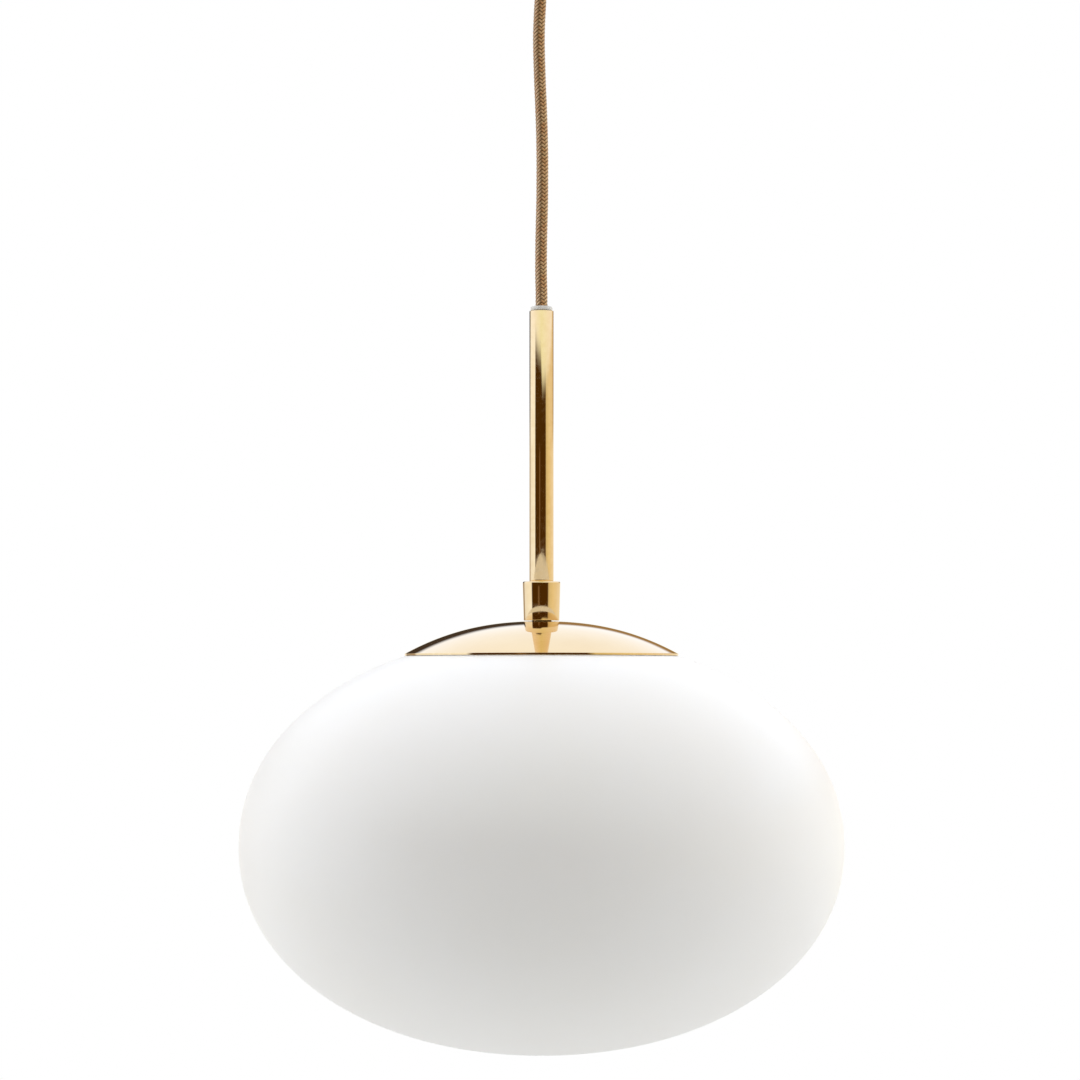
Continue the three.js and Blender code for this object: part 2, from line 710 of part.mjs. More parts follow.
function addHolder(group) {
  const bore = nippleRadius + fitGap;
  const inner = holderRadius - holderWall;
  const capOutline = [
    [bore, -holderCollarHeight],
    [holderCollarRadius - 1, -holderCollarHeight],
    [inner - 3, -holderCapHeight + 3],
    [inner, -holderCapHeight],
    [holderRadius, -holderCapHeight],
    [holderRadius, -holderCapHeight + 3],
    [holderRadius - 3, -holderCapHeight + 7],
    [holderCollarRadius + 1, -3.5],
    [holderCollarRadius, -3],
    [holderCollarRadius, 0],
    [bore, 0],
  ];
  const grubHeight = -1.7;
  const grubHole = disc(1 + fitGap / 2, 0, holderCollarRadius * 2, 12).rotateY(Math.PI / 2);
  const cap = cut(turned(capOutline, 24), grubHole.translate(0, 0, grubHeight));
  add(group, 'holder_cap', cap, 'blackPlastic');

  const grub = add(group, 'holder_grub_screw', disc(1, bore + 0.1, holderCollarRadius + 0.8, 12), 'steel');
  grub.rotation.y = Math.PI / 2;
  grub.position.z = grubHeight;

  const shellBottom = holderShellTop - holderShellHeight;
  const shellOutline = [
    [inner - 1, shellBottom],
    [holderRadius - 0.6, shellBottom],
    [holderRadius, shellBottom + 0.6],
    [holderRadius, holderShellTop],
    [inner, holderShellTop],
    [inner, shellBottom + 2],
    [inner - 1, shellBottom + 2],
  ];
  add(group, 'holder_shell', turned(shellOutline, 28), 'blackPlastic');

  const insertRadius = inner - fitGap;
  const insert = disc(insertRadius, insertBottom, insertTop, 28);
  const contactWell = disc(2.6, insertBottom - 1, insertTop - 2, 16);
  add(group, 'holder_insert', cut(insert, contactWell), 'whitePlastic');

  for (const [side, name] of [[-1, 'live_terminal'], [1, 'neutral_terminal']]) {
    const terminal = new THREE.BoxGeometry(5, terminalSize, terminalSize);
    const well = disc(1.3, 0, terminalSize, 12).rotateY((side * Math.PI) / 2);
    const cutTerminal = cut(terminal, well.translate(side * 0.5, 0, 0.6));
    add(group, name, cutTerminal, 'plainBrass').position.set(
      side * terminalReach,
      0,
      insertTop + fitGap + terminalSize / 2,
    );
  }

  const shellRadius = lampBaseRadius + 0.4;
  const top = insertBottom - fitGap;
  const screwShell = [
    [shellRadius, top - screwShellHeight],
    [shellRadius + screwShellWall, top - screwShellHeight],
    [shellRadius + screwShellWall, top],
    [9, top],
    [9, top - screwShellWall],
    [shellRadius, top - screwShellWall],
  ];
  add(group, 'holder_screw_shell', turned(screwShell, 28), 'plainBrass');

  const line = [
    [-7.5, top - 0.6],
    [-3, top - 0.6],
    [0, lampTip + 0.9],
    [3.5, lampTip + 0.7],
  ];
  add(group, 'holder_centre_contact', strip(line, 0.5, 5), 'plainBrass');

  addHolderWires(group);
}

function addHolderWires(group) {
  const start = -holderCollarHeight - 2 - fitGap;
  const end = insertTop + fitGap + terminalSize / 2 + 0.6;
  const wires = [[-1, 'holder_live_wire', 'brownWire'], [1, 'holder_neutral_wire', 'blueWire']];
  for (const [side, name, finish] of wires) {
    const route = [
      [side * 1.5, 0, start],
      [side * 2, 0.2, start - 2.4],
      [side * 3.8, 0.3, end + 1.6],
      [side * (terminalReach - 2.5 - fitGap - 1.2), 0, end],
    ];
    add(group, name, tubeAlong(route, 0.9, 8, 10), finish);
  }
}

// ---- Lamp: its group's origin is the tip of its centre contact ----

function addLamp(group) {
  add(group, 'bulb_tip_contact', disc(lampTipRadius, -lampTipHeight, 0, 20), 'plainBrass');

  const insulatorTop = -lampTipHeight - fitGap;
  const insulatorBottom = insulatorTop - lampInsulatorHeight;
  const insulatorOutline = [
    [0, insulatorBottom],
    [10.5, insulatorBottom],
    [10.5, insulatorBottom + 0.8],
    [lampTipRadius + 0.6, insulatorTop],
    [0, insulatorTop],
  ];
  add(group, 'bulb_tip_insulator', turned(insulatorOutline, 24), 'blackPlastic');

  const baseTop = insulatorBottom - fitGap;
  const baseBottom = baseTop - lampBaseHeight;
  const ridges = Math.floor((lampBaseHeight - 3) / lampThreadPitch);
  const side = [];
  for (let i = ridges; i > 0; i--) {
    const crest = baseTop - 1 - lampThreadPitch * (i - 0.5);
    side.push([lampBaseRadius - lampThreadDepth, crest - lampThreadPitch / 2]);
    side.push([lampBaseRadius - 0.15, crest - lampThreadPitch / 4]);
    side.push([lampBaseRadius - 0.15, crest + lampThreadPitch / 4]);
  }
  const baseOutline = [
    [0, baseBottom],
    [lampBaseRadius - 0.1, baseBottom],
    ...side,
    [lampBaseRadius - 1.6, baseTop],
    [0, baseTop],
  ];
  add(group, 'bulb_screw_base', turned(baseOutline, 20), 'steel');

  const housingTop = baseBottom - fitGap;
  const housingBottom = housingTop - lampHousingHeight;
  const housingOutline = [
    [0, housingBottom],
    [lampMouthRadius, housingBottom],
    [lampMouthRadius, housingBottom + 2.5],
    [lampMouthRadius - 3, housingBottom + lampHousingHeight * 0.3],
    [lampMouthRadius - 9, housingBottom + lampHousingHeight * 0.62],
    [lampBaseRadius + 0.6, housingTop - 3],
    [lampBaseRadius + 0.1, housingTop],
    [0, housingTop],
  ];
  add(group, 'bulb_housing', turned(housingOutline, 28), 'whitePlastic');

  const boardTop = housingBottom - fitGap;
  const boardRadius = lampMouthRadius - lampWall - 2;
  const board = disc(boardRadius, boardTop - ledBoardThickness, boardTop, 24);
  add(group, 'bulb_led_board', board, 'whitePlastic');

  addEnvelope(group, boardTop);
}

// A domed envelope that is open where it meets the housing.
function addEnvelope(group, mouth) {
  const outer = [];
  const inner = [];
  const drop = lampLength + mouth;
  const widest = mouth - Math.sqrt(Math.max(lampRadius ** 2 - lampMouthRadius ** 2, 0));
  const steps = 9;
  for (let i = 0; i <= steps; i++) {
    const share = i / steps;
    const angle = -Math.PI / 2 + (share * (Math.PI / 2 + Math.acos(lampMouthRadius / lampRadius)));
    const low = -lampLength - widest;
    const across = i === 0 ? 0 : Math.cos(angle);
    const up = angle < 0 ? -low * Math.sin(angle) : lampRadius * Math.sin(angle);
    outer.push([lampRadius * across, widest + up]);
    const innerUp = angle < 0 ? (-low - lampWall) * Math.sin(angle) : up;
    inner.unshift([(lampRadius - lampWall) * across, widest + innerUp]);
  }
  add(group, 'bulb_envelope', turned([...outer, ...inner], 28), 'opalGlass');
}

// ---- The whole light ----

function pendantLight() {
  const light = new THREE.Group();

  const ceiling = new THREE.Group();
  addCeilingPlate(ceiling);
  addGlandBridge(ceiling);
  addGland(ceiling);
  addTerminalBlock(ceiling);
  addCeilingWires(ceiling);
  addCup(ceiling);
  light.add(ceiling);

  addCord(light);

  const stem = new THREE.Group();
  stem.position.z = bushTop;
  addStem(stem);
  light.add(stem);

  const head = new THREE.Group();
  head.position.z = capTop;
  addDomeCap(head);
  addCarrier(head);
  addGlobe(head);
  light.add(head);

  const holder = new THREE.Group();
  holder.position.z = holderTop;
  addHolder(holder);
  light.add(holder);

  const lamp = new THREE.Group();
  lamp.position.z = holderTop + lampTip;
  addLamp(lamp);
  light.add(lamp);

  return light;
}

export default pendantLight();
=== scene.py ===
"""Pendant ceiling light: opal glass globe, polished brass cap and stem, and a braided textile cord.

It is laid out as a Blender add-on and run as a script. Each operator makes one piece, or a group of
like pieces, round the light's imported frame. Lengths are metres, +Z is up, and the origin is the
middle of the face that lies against the ceiling.
"""

import json
import math

import bmesh
import bpy
from mathutils import Matrix, Vector

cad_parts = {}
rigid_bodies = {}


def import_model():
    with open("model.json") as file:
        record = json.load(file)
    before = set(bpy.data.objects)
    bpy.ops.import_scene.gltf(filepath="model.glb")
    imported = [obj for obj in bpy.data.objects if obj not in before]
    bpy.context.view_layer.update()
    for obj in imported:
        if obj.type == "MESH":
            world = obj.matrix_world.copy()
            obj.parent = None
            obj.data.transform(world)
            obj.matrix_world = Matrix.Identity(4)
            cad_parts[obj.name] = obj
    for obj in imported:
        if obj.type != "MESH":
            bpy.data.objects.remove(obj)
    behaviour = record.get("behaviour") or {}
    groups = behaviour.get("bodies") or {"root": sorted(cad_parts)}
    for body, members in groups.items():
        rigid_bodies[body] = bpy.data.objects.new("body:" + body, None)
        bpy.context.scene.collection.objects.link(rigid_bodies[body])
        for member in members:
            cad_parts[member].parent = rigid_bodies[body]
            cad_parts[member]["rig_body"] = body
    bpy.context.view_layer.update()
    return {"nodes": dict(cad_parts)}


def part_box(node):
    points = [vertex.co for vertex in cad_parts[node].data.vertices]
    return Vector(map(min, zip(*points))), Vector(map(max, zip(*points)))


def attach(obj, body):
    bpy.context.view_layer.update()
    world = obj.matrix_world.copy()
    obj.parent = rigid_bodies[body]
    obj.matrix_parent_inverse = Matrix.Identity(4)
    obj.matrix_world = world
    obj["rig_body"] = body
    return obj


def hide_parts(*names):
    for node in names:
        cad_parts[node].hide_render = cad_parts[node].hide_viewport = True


bl_info = {
    "name": "Pendant Ceiling Light",
    "version": (1, 0, 0),
    "blender": (4, 5, 0),
    "location": "View3D > Sidebar > Pendant",
    "description": "Makes the visible pieces of an opal glass and brass pendant light",
    "category": "Add Mesh",
}

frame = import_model()

MM = 0.001
FIT_GAP = 0.3 * MM  # between pieces that touch
NIPPLE_HOLE = 5.3 * MM  # radius of every hole that the hollow nipple passes through
CORD_HOLE = 3.3 * MM  # radius of every hole that the cord passes through
BOX = {name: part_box(name) for name in frame["nodes"]}  # lowest and highest corner of each node

# Crown of the dome cap: its outer face falls from the top by depth * (radius / rim radius) ** curve
CAP_DEPTH = 16.2 * MM
CAP_CURVE = 2.3
CAP_WALL = 1.0 * MM

# Globe: a turned superellipse, 2 being an ellipse and more being squarer
GLOBE_RISE = 104.5 * MM
GLOBE_DROP = 102.5 * MM
GLOBE_ROUNDNESS = 2.08
GLOBE_WALL = 3.0 * MM
GLOBE_MOUTH = 52.0 * MM

# Middle line of the hanging cord, from the gland's mouth to the top of the stem's bush
CORD_ROUTE = [
    (0, 0, -42.2),
    (0, 0, -47.6),
    (-0.2, 0, -56),
    (-0.9, 0.2, -68),
    (-1.3, 0.3, -80),
    (-1.1, 0.4, -92),
    (-0.7, 0.4, -104),
    (-0.2, 0.3, -116),
    (0.2, 0.2, -128),
    (0.4, 0, -140),
    (0.4, -0.2, -152),
    (0.3, -0.3, -164),
    (0, -0.3, -176),
    (-0.2, -0.2, -188),
    (-0.2, -0.1, -200),
    (0, 0, -208),
    (0, 0, -214.8),
]


# ---- Sizes and colours that a user would change ----


class PendantSizes(bpy.types.PropertyGroup):
    """Sizes of the fine detail; the overall sizes come from the frame"""

    edge_radius: bpy.props.FloatProperty(
        name="Edge radius",
        description="Rounding on the edges of the turned brass pieces",
        default=0.25 * MM,
        unit="LENGTH",
    )
    pressed_edge: bpy.props.FloatProperty(
        name="Pressed edge",
        description="Rounding on the edges of the pressed steel pieces",
        default=0.22 * MM,
        unit="LENGTH",
    )
    moulded_edge: bpy.props.FloatProperty(
        name="Moulded edge",
        description="Rounding on the edges of the moulded plastic pieces",
        default=0.4 * MM,
        unit="LENGTH",
    )
    lip_radius: bpy.props.FloatProperty(
        name="Glass lip",
        description="Rounding of the fire-polished edge of the globe's mouth",
        default=1.1 * MM,
        unit="LENGTH",
    )
    strands: bpy.props.IntProperty(
        name="Strands each way",
        description="Strands of the cord's braid that wind in each direction",
        default=8,
        min=4,
    )
    braid_lead: bpy.props.FloatProperty(
        name="Braid lead",
        description="Length of cord in which a strand winds once round it",
        default=15.2 * MM,
        unit="LENGTH",
    )
    strand_height: bpy.props.FloatProperty(
        name="Strand height",
        description="Depth of the braid between the tops of its strands and its grooves",
        default=0.5 * MM,
        unit="LENGTH",
    )
    grip_flutes: bpy.props.IntProperty(
        name="Grip flutes",
        description="Flutes round the edge of the ring nut",
        default=24,
        min=6,
    )
    gland_pitch: bpy.props.FloatProperty(
        name="Gland thread pitch",
        description="Pitch of the thread on the cord gland",
        default=1.0 * MM,
        unit="LENGTH",
    )
    lamp_pitch: bpy.props.FloatProperty(
        name="Lamp thread pitch",
        description="Pitch of the lamp's screw thread",
        default=3.629 * MM,
        unit="LENGTH",
    )


class PendantColours(bpy.types.PropertyGroup):
    """Colours of the finishes"""

    brass: bpy.props.FloatVectorProperty(
        name="Brass",
        description="Polished brass of the stem, cap and cup",
        default=(0.80, 0.60, 0.34),
        subtype="COLOR",
    )
    steel: bpy.props.FloatVectorProperty(
        name="Steel",
        description="Zinc plated steel of the fixings",
        default=(0.66, 0.67, 0.69),
        subtype="COLOR",
    )
    glass: bpy.props.FloatVectorProperty(
        name="Opal glass",
        description="White of the globe",
        default=(0.93, 0.925, 0.915),
        subtype="COLOR",
    )
    thread_light: bpy.props.FloatVectorProperty(
        name="Light thread",
        description="Gold of the cord's raised threads",
        default=(0.66, 0.44, 0.235),
        subtype="COLOR",
    )
    # Painted shade: the dark brown laid into the braid's grooves, where strands dive under
    painted_groove_shade: bpy.props.FloatVectorProperty(
        name="Painted groove shade",
        description="Brown between the cord's threads",
        default=(0.10, 0.045, 0.015),
        subtype="COLOR",
    )
    white_plastic: bpy.props.FloatVectorProperty(
        name="White plastic",
        description="Bush, collet, block and lamp housing",
        default=(0.76, 0.75, 0.72),
        subtype="COLOR",
    )
    black_plastic: bpy.props.FloatVectorProperty(
        name="Black plastic",
        description="Lampholder",
        default=(0.016, 0.016, 0.018),
        subtype="COLOR",
    )
    backdrop: bpy.props.FloatVectorProperty(
        name="Backdrop",
        description="White that the light is seen against",
        default=(1.0, 1.0, 1.0),
        subtype="COLOR",
    )


def sizes():
    return bpy.context.scene.pendant_sizes


def colours():
    return bpy.context.scene.pendant_colours


# ---- Mesh helpers ----


def top_of(node):
    return BOX[node][1].z


def bottom_of(node):
    return BOX[node][0].z


def heights_of(node):
    return bottom_of(node), top_of(node)


def radius_of(node):
    """Outer radius of a round CAD node that stands on the light's axis."""
    return BOX[node][1].x


def arc(centre_radius, centre_height, radius, start, end, steps=6):
    """Points of a round corner of an outline, from one angle to another in degrees."""
    points = []
    for i in range(steps + 1):
        angle = math.radians(start + (end - start) * i / steps)
        points.append(
            (centre_radius + radius * math.cos(angle), centre_height + radius * math.sin(angle))
        )
    return points


def between(start, end, steps):
    """Points from start to end, both of them included."""
    (start_r, start_z), (end_r, end_z) = start, end
    return [
        (start_r + (end_r - start_r) * i / steps, start_z + (end_z - start_z) * i / steps)
        for i in range(steps + 1)
    ]


def smooth_line(points, step):
    """Points a step apart on a smooth curve through the given points."""
    knots = [Vector(point) for point in points]
    knots = [2 * knots[0] - knots[1], *knots, 2 * knots[-1] - knots[-2]]
    line = [knots[1]]
    for before, start, end, after in zip(knots, knots[1:], knots[2:], knots[3:]):
        count = max(1, round((end - start).length / step))
        for i in range(1, count + 1):
            t = i / count
            line.append(
                0.5
                * (
                    2 * start
                    + (end - before) * t
                    + (2 * before - 5 * start + 4 * end - after) * t**2
                    + (3 * start - before - 3 * end + after) * t**3
                )
            )
    return line


def round_edges(bm, width, segments=2, sharp=35):
    """Rounds every edge that turns by more than the sharp angle, in degrees."""
    limit = math.radians(sharp)
    edges = [edge for edge in bm.edges if len(edge.link_faces) == 2 and edge.calc_face_angle() > limit]
    bmesh.ops.bevel(
        bm,
        geom=edges,
        offset=width,
        offset_type="OFFSET",
        segments=segments,
        profile=0.5,
        affect="EDGES",
        clamp_overlap=True,
        material=-1,
    )


def turn(bm, outline, steps=96):
    """Adds an outline of (radius, height) points turned about the light's axis.

    An outline that starts on the axis also ends on it, and any other closes on itself.
    """
    points = [bm.verts.new((radius, 0, height)) for radius, height in outline]
    ends = points[1:] if outline[0][0] == 0 else points[1:] + points[:1]
    edges = [bm.edges.new(pair) for pair in zip(points, ends)]
    bmesh.ops.spin(
        bm,
        geom=points + edges,
        cent=(0, 0, 0),
        axis=(0, 0, 1),
        dvec=(0, 0, 0),
        angle=math.tau,
        steps=steps,
        use_merge=True,
        use_duplicate=False,
    )
    bmesh.ops.remove_doubles(bm, verts=bm.verts, dist=1e-6)
    bmesh.ops.recalc_face_normals(bm, faces=bm.faces)


def turned(outline, steps=96, edge=0.0, segments=2):
    """A new mesh of a turned outline, with its sharp edges rounded."""
    bm = bmesh.new()
    turn(bm, outline, steps)
    if edge:
        round_edges(bm, edge, segments)
    return bm


def disc_outline(radius, low, high):
    return [(0, low), (radius, low), (radius, high), (0, high)]


def take_in(bm, part):
    """Adds a mesh to another and frees it."""
    mesh = bpy.data.meshes.new("part")
    part.to_mesh(mesh)
    part.free()
    bm.from_mesh(mesh)
    bpy.data.meshes.remove(mesh)


def ring_outline(inner, outer, low, high):
    return [(inner, low), (outer, low), (outer, high), (inner, high)]


def softened(node, width, segments=2):
    """A copy of a CAD node's mesh with its flat faces joined and its sharp edges rounded."""
    bm = bmesh.new()
    bm.from_mesh(frame["nodes"][node].data)
    bmesh.ops.remove_doubles(bm, verts=bm.verts, dist=1e-5)
    bmesh.ops.dissolve_limit(bm, angle_limit=math.radians(1), verts=bm.verts, edges=bm.edges)
    round_edges(bm, width, segments)
    return bm


def flute(bm, count, depth, inner, low, high):
    """Presses upright flutes into what lies outside the inner radius, between two heights."""
    for vert in bm.verts:
        radius = math.hypot(vert.co.x, vert.co.y)
        if radius < inner or not low <= vert.co.z <= high:
            continue
        wave = 0.5 - 0.5 * math.cos(count * math.atan2(vert.co.y, vert.co.x))
        share = 1 - depth * wave**2 / radius
        vert.co.x *= share
        vert.co.y *= share


def thread(bm, pitch, depth, inner, outer, low, high):
    """Winds a thread into the walls between two radii, fading out at both ends of its length."""
    fade = 0.8 * pitch
    for vert in bm.verts:
        radius = math.hypot(vert.co.x, vert.co.y)
        if not inner <= radius <= outer or not low <= vert.co.z <= high:
            continue
        winding = vert.co.z / pitch - math.atan2(vert.co.y, vert.co.x) / math.tau
        wave = 0.5 - 0.5 * math.cos(math.tau * winding)
        strength = min(1, (vert.co.z - low) / fade, (high - vert.co.z) / fade)
        share = 1 + depth * wave * strength / radius
        vert.co.x *= share
        vert.co.y *= share


def lay_along(bm, line):
    """Bends a rod that stands up from the origin so that it follows a line of points."""
    lengths = [0.0]
    for start, end in zip(line, line[1:]):
        lengths.append(lengths[-1] + (end - start).length)
    tangents = []
    for i in range(len(line)):
        tangents.append((line[min(i + 1, len(line) - 1)] - line[max(i - 1, 0)]).normalized())
    sides = [tangents[0].orthogonal().normalized()]
    for before, after in zip(tangents, tangents[1:]):
        sides.append(before.rotation_difference(after) @ sides[-1])
    last = len(line) - 1
    place = 0
    for vert in sorted(bm.verts, key=lambda vert: vert.co.z):
        while place < last - 1 and lengths[place + 1] < vert.co.z:
            place += 1
        span = lengths[place + 1] - lengths[place]
        share = (vert.co.z - lengths[place]) / span
        centre = line[place].lerp(line[place + 1], share)
        side = sides[place].lerp(sides[place + 1], share).normalized()
        other = tangents[place].lerp(tangents[place + 1], share).cross(side).normalized()
        vert.co = centre + side * vert.co.x + other * vert.co.y


def rod(radius, length, rings, sides):
    """A round rod standing up from the origin, with even rings along it."""
    return turned([(0, 0), *between((radius, 0), (radius, length), rings), (0, length)], sides)


def braid(bm, radius, strands, lead, height):
    """Raises a two-over, two-under braid on a rod, and notes each point's strand.

    One family of strands winds each way. A strand's number and the crossings along it are the whole
    parts of two windings, and each family's height is a wave along its own strands. The family
    with the greater least height shows more.
    """
    heights = bm.verts.layers.float.new("strand_height")
    tones = bm.verts.layers.float.new("strand_tone")
    filaments = bm.verts.layers.float.new("filament")
    for vert in bm.verts:
        reach = math.hypot(vert.co.x, vert.co.y)
        if reach < radius / 2:
            continue
        around = math.atan2(vert.co.y, vert.co.x) / math.tau
        right = strands * (around + vert.co.z / lead)
        left = strands * (around - vert.co.z / lead)
        raised = []
        for across, along, middle, least in ((right, left, 1, 0.2), (left, right, 3, 0.55)):
            number = math.floor(across)
            offset = 2 * (across - number) - 1
            crown = math.sqrt(max(0.0, 1 - offset**2))
            over = 0.5 + 0.5 * math.cos(math.tau * (number + along - middle) / 4)
            high = crown * (least + (1 - least) * over)
            raised.append((high, number % strands, across - number, middle))
        top, number, across, middle = max(raised)
        vert[heights] = top
        vert[tones] = math.sin(number * 12.9898 + middle * 4.1) * 0.5 + 0.5  # uneven, but always the same
        vert[filaments] = number * 3 + middle * 40 + across
        share = (radius + height * (top - 0.9)) / reach
        vert.co.x *= share
        vert.co.y *= share


def finished(bm, name, node, materials, smooth=38, replaces=None):
    """Turns a mesh into a finished piece that rides with a CAD node's body and stands for it."""
    mesh = bpy.data.meshes.new(name)
    bm.to_mesh(mesh)
    bm.free()
    mesh.shade_smooth()
    mesh.set_sharp_from_angle(angle=math.radians(smooth))
    piece = bpy.data.objects.new(name, mesh)
    bpy.context.scene.collection.objects.link(piece)
    for material in materials if isinstance(materials, (list, tuple)) else [materials]:
        mesh.materials.append(material)
    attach(piece, frame["nodes"][node]["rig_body"])
    stands_for = [node] if replaces is None else replaces
    if stands_for:
        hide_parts(*stands_for)
    return piece


def slotted_screw(name, node, head_radius, head_height, shank_radius, facing, material):
    """A screw with a straight slot across its head, which faces along the given direction."""
    low, high = BOX[node]
    facing = Vector(facing)
    length = abs((high - low).dot(facing)) - head_height
    slot_width = head_radius * 0.34
    slot_floor = head_height * 0.55
    sink = 0.05 * MM
    bm = turned(disc_outline(head_radius, 0, slot_floor), 32)
    turn(bm, disc_outline(shank_radius, -length, sink), 24)
    for side in (-1, 1):
        half = turned(disc_outline(head_radius, slot_floor - sink, head_height), 32)
        cut = bmesh.ops.bisect_plane(
            half,
            geom=half.verts[:] + half.edges[:] + half.faces[:],
            plane_co=(side * slot_width / 2, 0, 0),
            plane_no=(-side, 0, 0),
            clear_outer=True,
        )
        rim = [item for item in cut["geom_cut"] if isinstance(item, bmesh.types.BMEdge)]
        bmesh.ops.holes_fill(half, edges=rim)
        bmesh.ops.dissolve_limit(half, angle_limit=0.01, verts=half.verts, edges=half.edges)
        bmesh.ops.recalc_face_normals(half, faces=half.faces)
        take_in(bm, half)
    round_edges(bm, head_radius * 0.06, 2, 50)
    centre = (low + high) / 2
    face = centre + facing * (abs((high - low).dot(facing)) / 2 - head_height)
    turn_to = Vector((0, 0, 1)).rotation_difference(facing).to_matrix().to_4x4()
    bm.transform(Matrix.Translation(face) @ turn_to)
    return finished(bm, name, node, material)


def rivet(name, node, head, material):
    """A domed rivet: its head is at the bottom, and its shank ends in a formed head at the top."""
    low, high = BOX[node]
    radius = (high.x - low.x) / 2
    outline = [(0, low.z)]
    outline += [
        (radius * math.sin(angle), low.z + head * (1 - math.cos(angle)))
        for angle in [math.radians(15 * i) for i in range(1, 7)]
    ]
    outline += [(radius * 0.53, low.z + head), (radius * 0.53, high.z), (0, high.z)]
    bm = turned(outline, 40)
    middle = (low + high) / 2
    bmesh.ops.translate(bm, verts=bm.verts, vec=(middle.x, middle.y, 0))
    return finished(bm, name, node, material)


# ---- Node helpers ----


def add_node(tree, kind, inputs=None, **settings):
    """Adds a node, sets it up, and links or sets its inputs by name or number."""
    node = tree.nodes.new(kind)
    for name, value in settings.items():
        setattr(node, name, value)
    for name, value in (inputs or {}).items():
        if isinstance(value, bpy.types.NodeSocket):
            tree.links.new(value, node.inputs[name])
        else:
            node.inputs[name].default_value = value
    return node


def calc(tree, operation, *values, clamp=False):
    """A Math node's result."""
    inputs = dict(enumerate(values))
    return add_node(tree, "ShaderNodeMath", inputs, operation=operation, use_clamp=clamp).outputs[0]


def add_up(tree, start, *terms):
    """A value plus other values, each with the weight given beside it."""
    for value, weight in terms:
        start = calc(tree, "ADD", start, calc(tree, "MULTIPLY", value, weight))
    return start


def remap(tree, value, low, high, to_low=0.0, to_high=1.0, smooth=False):
    """A value taken from one range to another, and kept within it."""
    inputs = {"Value": value, 1: low, 2: high, 3: to_low, 4: to_high}
    kind = "SMOOTHSTEP" if smooth else "LINEAR"
    return add_node(tree, "ShaderNodeMapRange", inputs, interpolation_type=kind).outputs[0]


def mix(tree, factor, first, second, blend="MIX"):
    """Two colours mixed."""
    node = add_node(tree, "ShaderNodeMix", data_type="RGBA", blend_type=blend)
    for socket, value in ((node.inputs[0], factor), (node.inputs[6], first), (node.inputs[7], second)):
        if isinstance(value, bpy.types.NodeSocket):
            tree.links.new(value, socket)
        else:
            socket.default_value = (*value, 1) if isinstance(value, tuple) else value
    return node.outputs[2]


def ramp(tree, value, stops, interpolation="LINEAR"):
    """A colour ramp's result, from stops of (position, colour)."""
    node = add_node(tree, "ShaderNodeValToRGB", {0: value})
    band = node.color_ramp
    band.interpolation = interpolation
    band.elements.remove(band.elements[1])
    (start, first), *others = sorted(stops)
    band.elements[0].position = start
    band.elements[0].color = (*first, 1)
    for position, colour in others:
        band.elements.new(position).color = (*colour, 1)
    return node.outputs[0]


def noise(tree, coordinates, scale, detail=2.0, roughness=0.5):
    inputs = {"Vector": coordinates, "Scale": scale, "Detail": detail, "Roughness": roughness}
    return add_node(tree, "ShaderNodeTexNoise", inputs).outputs[0]


def object_place(tree):
    return add_node(tree, "ShaderNodeTexCoord").outputs["Object"]


def bump(tree, height, strength, distance):
    inputs = {"Height": height, "Strength": strength, "Distance": distance}
    return add_node(tree, "ShaderNodeBump", inputs).outputs[0]


def new_material(name):
    material = bpy.data.materials.new(name)
    material.use_nodes = True
    material.node_tree.nodes.clear()
    return material, material.node_tree


def shade(tree, inputs):
    """Ends a material in a Principled shader with these inputs."""
    shader = add_node(tree, "ShaderNodeBsdfPrincipled", inputs)
    add_node(tree, "ShaderNodeOutputMaterial", {"Surface": shader.outputs[0]})


def use_group(tree, make, inputs):
    """Places a shared effect in a material and returns its outputs. The first use makes its group."""
    group = bpy.data.node_groups.get(make.__name__) or make(make.__name__)
    node = add_node(tree, "ShaderNodeGroup", node_tree=group)
    for name, value in inputs.items():
        if isinstance(value, bpy.types.NodeSocket):
            tree.links.new(value, node.inputs[name])
        else:
            node.inputs[name].default_value = value
    return node.outputs


def new_group(name, inputs, outputs):
    """A shader node group with named sockets, and its input and output nodes."""
    group = bpy.data.node_groups.new(name, "ShaderNodeTree")
    for socket, kind, default in inputs:
        made = group.interface.new_socket(socket, in_out="INPUT", socket_type=kind)
        if default is not None:
            made.default_value = default
    for socket in outputs:
        group.interface.new_socket(socket, in_out="OUTPUT", socket_type="NodeSocketFloat")
    return group, group.nodes.new("NodeGroupInput").outputs, group.nodes.new("NodeGroupOutput").inputs


# ---- Shared surface effects ----


def lathe_marks(name):
    """Fine rings left by turning and polishing about the light's axis, and hand marks on top."""
    group, given, result = new_group(
        name,
        [
            ("Place", "NodeSocketVector", None),
            ("Ring Scale", "NodeSocketFloat", 2500.0),
            ("Smudge Scale", "NodeSocketFloat", 45.0),
        ],
        ["Rings", "Smudges"],
    )
    axes = add_node(group, "ShaderNodeSeparateXYZ", {0: given["Place"]}).outputs
    reach = calc(group, "SQRT", calc(group, "ADD", calc(group, "MULTIPLY", axes[0], axes[0]),
                                     calc(group, "MULTIPLY", axes[1], axes[1])))
    place = add_node(group, "ShaderNodeCombineXYZ", {0: reach, 2: axes[2]}).outputs[0]
    rings = noise(group, place, given["Ring Scale"], 3.0, 0.7)
    broken = noise(group, given["Place"], calc(group, "MULTIPLY", given["Smudge Scale"], 4.0), 2.0)
    group.links.new(calc(group, "MULTIPLY", rings, remap(group, broken, 0.3, 0.7, 0.5, 1.0)), result[0])
    smudges = noise(group, given["Place"], given["Smudge Scale"], 4.0, 0.6)
    group.links.new(remap(group, smudges, 0.42, 0.72), result[1])
    return group


